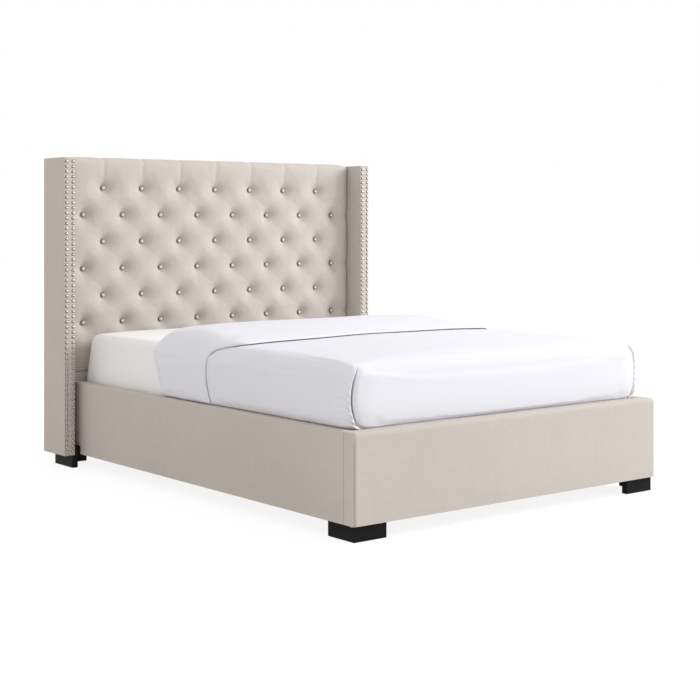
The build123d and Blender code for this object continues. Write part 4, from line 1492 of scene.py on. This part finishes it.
    def body(self) -> None:
        """Make the main part of the duvet, from the footboard to the fold's seam."""
        side = self.high.x - self.body_inset
        end = self.seam_y + self.body_lap
        radius = self.shoulder
        skin = rounded_block(
            (-side, self.low.y, self.low.z), (side, end, self.top),
            (radius, radius, TINY), (radius, self.seam_round, radius),
            self.step, self.lines, {2: self.levels()})
        away = self.seam_lines(skin, side)
        self.tuck(skin, side)
        reach = radius * (1 + 0.76 * step_up(skin.y, end - 0.4, end))
        self.round_over(skin, side, self.top, reach)
        along = step_up(skin.y, self.low.y, self.low.y + 0.16)
        skin.z -= step_up(self.height(skin), 0.7, 1) * self.foot_drop * (1 - along)
        close = step_up(skin.y, end - self.seam_pull, end)
        skin.y += close * (self.seam_place(skin) + self.seam_lap / 2 - end)
        self.corner_seams(skin, away)
        self.fill("duvet_body_cotton", skin, 1 - step_up(np.abs(away), 0.01, 0.04), "duvet")

    def seam_lines(self, skin: Skin, side: float) -> Array:
        """Slide the mesh round each foot corner, so that its lines gather along the seam.

        Args:
            skin: The plain block's cover.
            side: Its half width.

        Returns:
            Each point's way from the seam, below 0 on the long side.
        """
        radius = self.shoulder
        quarter = radius * math.pi / 4
        dx = np.abs(skin.x) - (side - radius)
        dy = self.low.y + radius - skin.y
        turn = np.arctan2(np.maximum(dy, 0), np.maximum(dx, 0)) - math.pi / 4
        around = radius * turn + np.maximum(-dx, 0) - np.maximum(-dy, 0)
        out = np.hypot(np.maximum(dx, 0), np.maximum(dy, 0))
        height = self.height(skin)
        bow = 0.005 + np.where(height < self.seam_middle, 0.046, 0.026) * np.clip(
            np.abs(height - self.seam_middle) / 0.5, 0, 1.1) ** 2
        gathered = around * (0.3 + 0.7 * np.minimum(1, np.abs(around) / self.gather_core))
        slid = gathered + bow * (1 - step_up(np.abs(around), self.gather_core, self.gather_reach))
        slid = around + (slid - around) * step_up(out, 0, 0.03)
        angle = np.clip(slid, -quarter, quarter) / radius + math.pi / 4
        new_x = out * np.cos(angle) - np.maximum(slid - quarter, 0)
        new_y = out * np.sin(angle) - np.maximum(-slid - quarter, 0)
        near = (np.abs(around) < self.gather_reach) & (out > TINY)
        skin.x[near] = (np.sign(skin.x) * (side - radius + new_x))[near]
        skin.y[near] = (self.low.y + radius - new_y)[near]
        return np.where(out > TINY, gathered, 1.0)

    def corner_seams(self, skin: Skin, away: Array) -> None:
        """Sink a gathered seam down each corner at the foot end.

        Args:
            skin: The duvet's cover.
            away: Each point's way from the seam.
        """
        outward = skin.normals()
        height = self.height(skin)
        fall = step_up(0.97 - height, 0.0, 0.1) * (np.abs(outward[:, 2]) < 0.8)
        width = self.seam_width + bump(height, self.foot_widening)
        groove = ((self.seam_depth + bump(height, self.foot_deepening)) * bell(away, width)
                  + bump(away, self.near_hollow) * (away > 0)
                  + bump(away, self.far_hollow))
        low_part = step_up(0.85 - height, 0.0, 0.3)
        bead = bump(away, self.seam_bead) * low_part
        upright, level = self.pleat_turns
        pleats = np.abs(np.sin(skin.z * upright + away * level)) - self.pleat_level
        pleats *= bump(away, self.pleats) * (away < 0)
        skin.swell(outward, -(groove - bead - pleats * low_part) * fall)

    def cuff(self) -> None:
        """Make the duvet's head end, folded back over its top, its edge lapping the body."""
        side = self.high.x - self.cuff_inset
        back, top = self.high.y, self.high.z - self.crown
        edge, back_round = self.cuff_edge, self.cuff_back_round
        lines = [edge + 0.0008, edge + 0.003, edge + 0.006]
        skin = rounded_block(
            (-side, self.seam_y, self.low.z), (side, back, top),
            (edge, edge, TINY), (edge, back_round, edge), self.step, self.lines,
            {0: [sign * (side - line) for line in lines for sign in (-1, 1)],
             2: self.levels() + [top - line for line in lines]})
        inset = np.minimum(side - np.abs(skin.x), top - skin.z)
        wall = skin.y < self.seam_y + TINY
        outside = (skin.y > self.seam_y + edge - TINY) & (skin.y < back - back_round + TINY)
        skin.y += wall * self.undercut * step_up(inset, edge, edge + 0.003)
        self.tuck(skin, side)
        reach = self.shoulder * 2 + (self.cuff_shoulder - self.shoulder * 2) * step_up(
            skin.y, self.seam_y + 0.02, self.seam_y + 0.22)
        self.round_over(skin, side, top, reach, outside)
        height = np.clip(self.height(skin), 0, 1)
        ramp = 1 - step_up(skin.y, self.seam_y - 0.06, self.seam_y + 0.30)
        skin.z -= self.cuff_sink * ramp * step_up(height, 0.15, 0.85)
        bent = np.clip((skin.y - back + self.cuff_back_reach) / self.cuff_back_reach, 0, 1)
        skin.z -= self.cuff_back_drop * (1 - np.sqrt(1 - bent ** 2)) * step_up(height, 0.7, 1.0)
        leaning = self.cuff_lean * (1 - step_up(self.height(skin), 0, 0.95))
        skin.y -= step_up(skin.y, back - 0.25, back) * leaning
        close = 1 - step_up(skin.y, self.seam_y, self.seam_y + self.seam_pull)
        skin.y += close * (self.seam_place(skin) - self.seam_lap / 2 - self.seam_y)
        self.fill("duvet_cuff_cotton", skin, 0.0)

    def build(self) -> None:
        """Make the bedding."""
        for make in (self.mattress, self.fitted_sheet, self.body, self.cuff):
            make()


@dataclass(frozen=True)
class Studio:
    """Floor, light and camera."""

    camera_place: Triple = (-4.018, -5.120, 1.1565)
    camera_yaw: float = -38.49
    lens: float = 73.82
    horizon_shift: float = -130 / 700
    sight: float = 200.0
    floor_size: float = 60.0
    floor_grey: float = 0.8
    floor_glow: float = 1.1
    floor_share: float = 0.8
    ambient: float = 0.95
    ambient_tint: Triple = (1.0, 0.98, 0.965)
    lamp_place: Triple = (8.7, -4.4, 5.1)
    lamp_power: float = 985.0
    lamp_size: float = 4.8
    lamp_tint: Triple = (0.93, 0.965, 1.0)
    lamp_aim: Triple = (0.0, 0.0, 0.5)

    def camera(self) -> None:
        """Set the camera where the photograph was taken from."""
        data = bpy.data.cameras.new("camera")
        data.lens = self.lens
        data.shift_y = self.horizon_shift
        data.clip_end = self.sight
        camera = add_object("camera", data)
        camera.location = self.camera_place
        camera.rotation_euler = (math.pi / 2, 0.0, math.radians(self.camera_yaw))
        bpy.context.scene.camera = camera

    @staticmethod
    def mixed(tree: bpy.types.NodeTree, lit: tuple[str, dict], shown: tuple[str, dict],
              share: float, output: str) -> None:
        """Let a tree light the bed in one way and be seen in another.

        Args:
            tree: The tree of the floor or the world.
            lit: The shader node that lights the bed, with its values.
            shown: The one that camera, glossy and transmission rays meet.
            share: How much of the second those rays meet.
            output: The type of the output node.
        """
        tree.nodes.clear()
        desk = NodeDesk(tree)
        path = desk.node("ShaderNodeLightPath")
        camera, glossy, through = (Term(desk, path.outputs[f"Is {kind} Ray"])
                                   for kind in ("Camera", "Glossy", "Transmission"))
        first, second = (desk.term(kind, None, values) for kind, values in (lit, shown))
        mix = desk.term("ShaderNodeMixShader", None, {
            0: camera.most(glossy).most(through) * share, 1: first, 2: second})
        desk.node(output, None, {"Surface": mix})

    def floor(self) -> None:
        """Lay a plain pale floor that keeps a light shadow."""
        made = bpy.data.materials.new("pale_floor")
        made.use_nodes = True
        grey = (self.floor_grey,) * 3
        self.mixed(made.node_tree, ("ShaderNodeBsdfDiffuse", {"Color": (*grey, 1.0)}),
                   ("ShaderNodeEmission", {"Color": WHITE, "Strength": self.floor_glow}),
                   self.floor_share, "ShaderNodeOutputMaterial")
        half = self.floor_size / 2
        corners = ((-half, -half, -TINY), (half, -half, -TINY), (half, half, -TINY),
                   (-half, half, -TINY))
        mesh = bpy.data.meshes.new("floor")
        mesh.from_pydata(corners, [], [(0, 1, 2, 3)])
        mesh.materials.append(made)
        add_object("floor", mesh)

    def world(self) -> None:
        """Light the room evenly, and show it white."""
        world = bpy.data.worlds.new("studio")
        world.use_nodes = True
        bpy.context.scene.world = world
        light = {"Color": (*self.ambient_tint, 1.0), "Strength": self.ambient}
        self.mixed(world.node_tree, ("ShaderNodeBackground", light),
                   ("ShaderNodeBackground", {"Color": WHITE, "Strength": 1.0}),
                   1.0, "ShaderNodeOutputWorld")

    def lamp(self) -> None:
        """Hang one square lamp that faces the bed."""
        data = bpy.data.lights.new("key", "AREA")
        data.energy = self.lamp_power
        data.size = self.lamp_size
        data.color = self.lamp_tint
        lamp = add_object("key", data)
        lamp.location = self.lamp_place
        way = Vector(self.lamp_aim) - Vector(self.lamp_place)
        lamp.rotation_euler = way.to_track_quat("-Z", "Y").to_euler()

    def build(self) -> None:
        """Set up the studio."""
        bpy.context.scene.view_settings.view_transform = "Standard"
        for make in (self.camera, self.floor, self.world, self.lamp):
            make()


def main() -> None:
    """Build the pieces round the frame, in order."""
    logging.basicConfig(level=logging.INFO, format="%(name)s: %(message)s")
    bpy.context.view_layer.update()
    Studio().build()
    dress_frame()
    TuftedHeadboard().build()
    for name, side in SIDES.items():
        Wing(name, side).build()
    BoxFrame().build()
    Bedding().build()


if __name__ == "__main__":
    main()
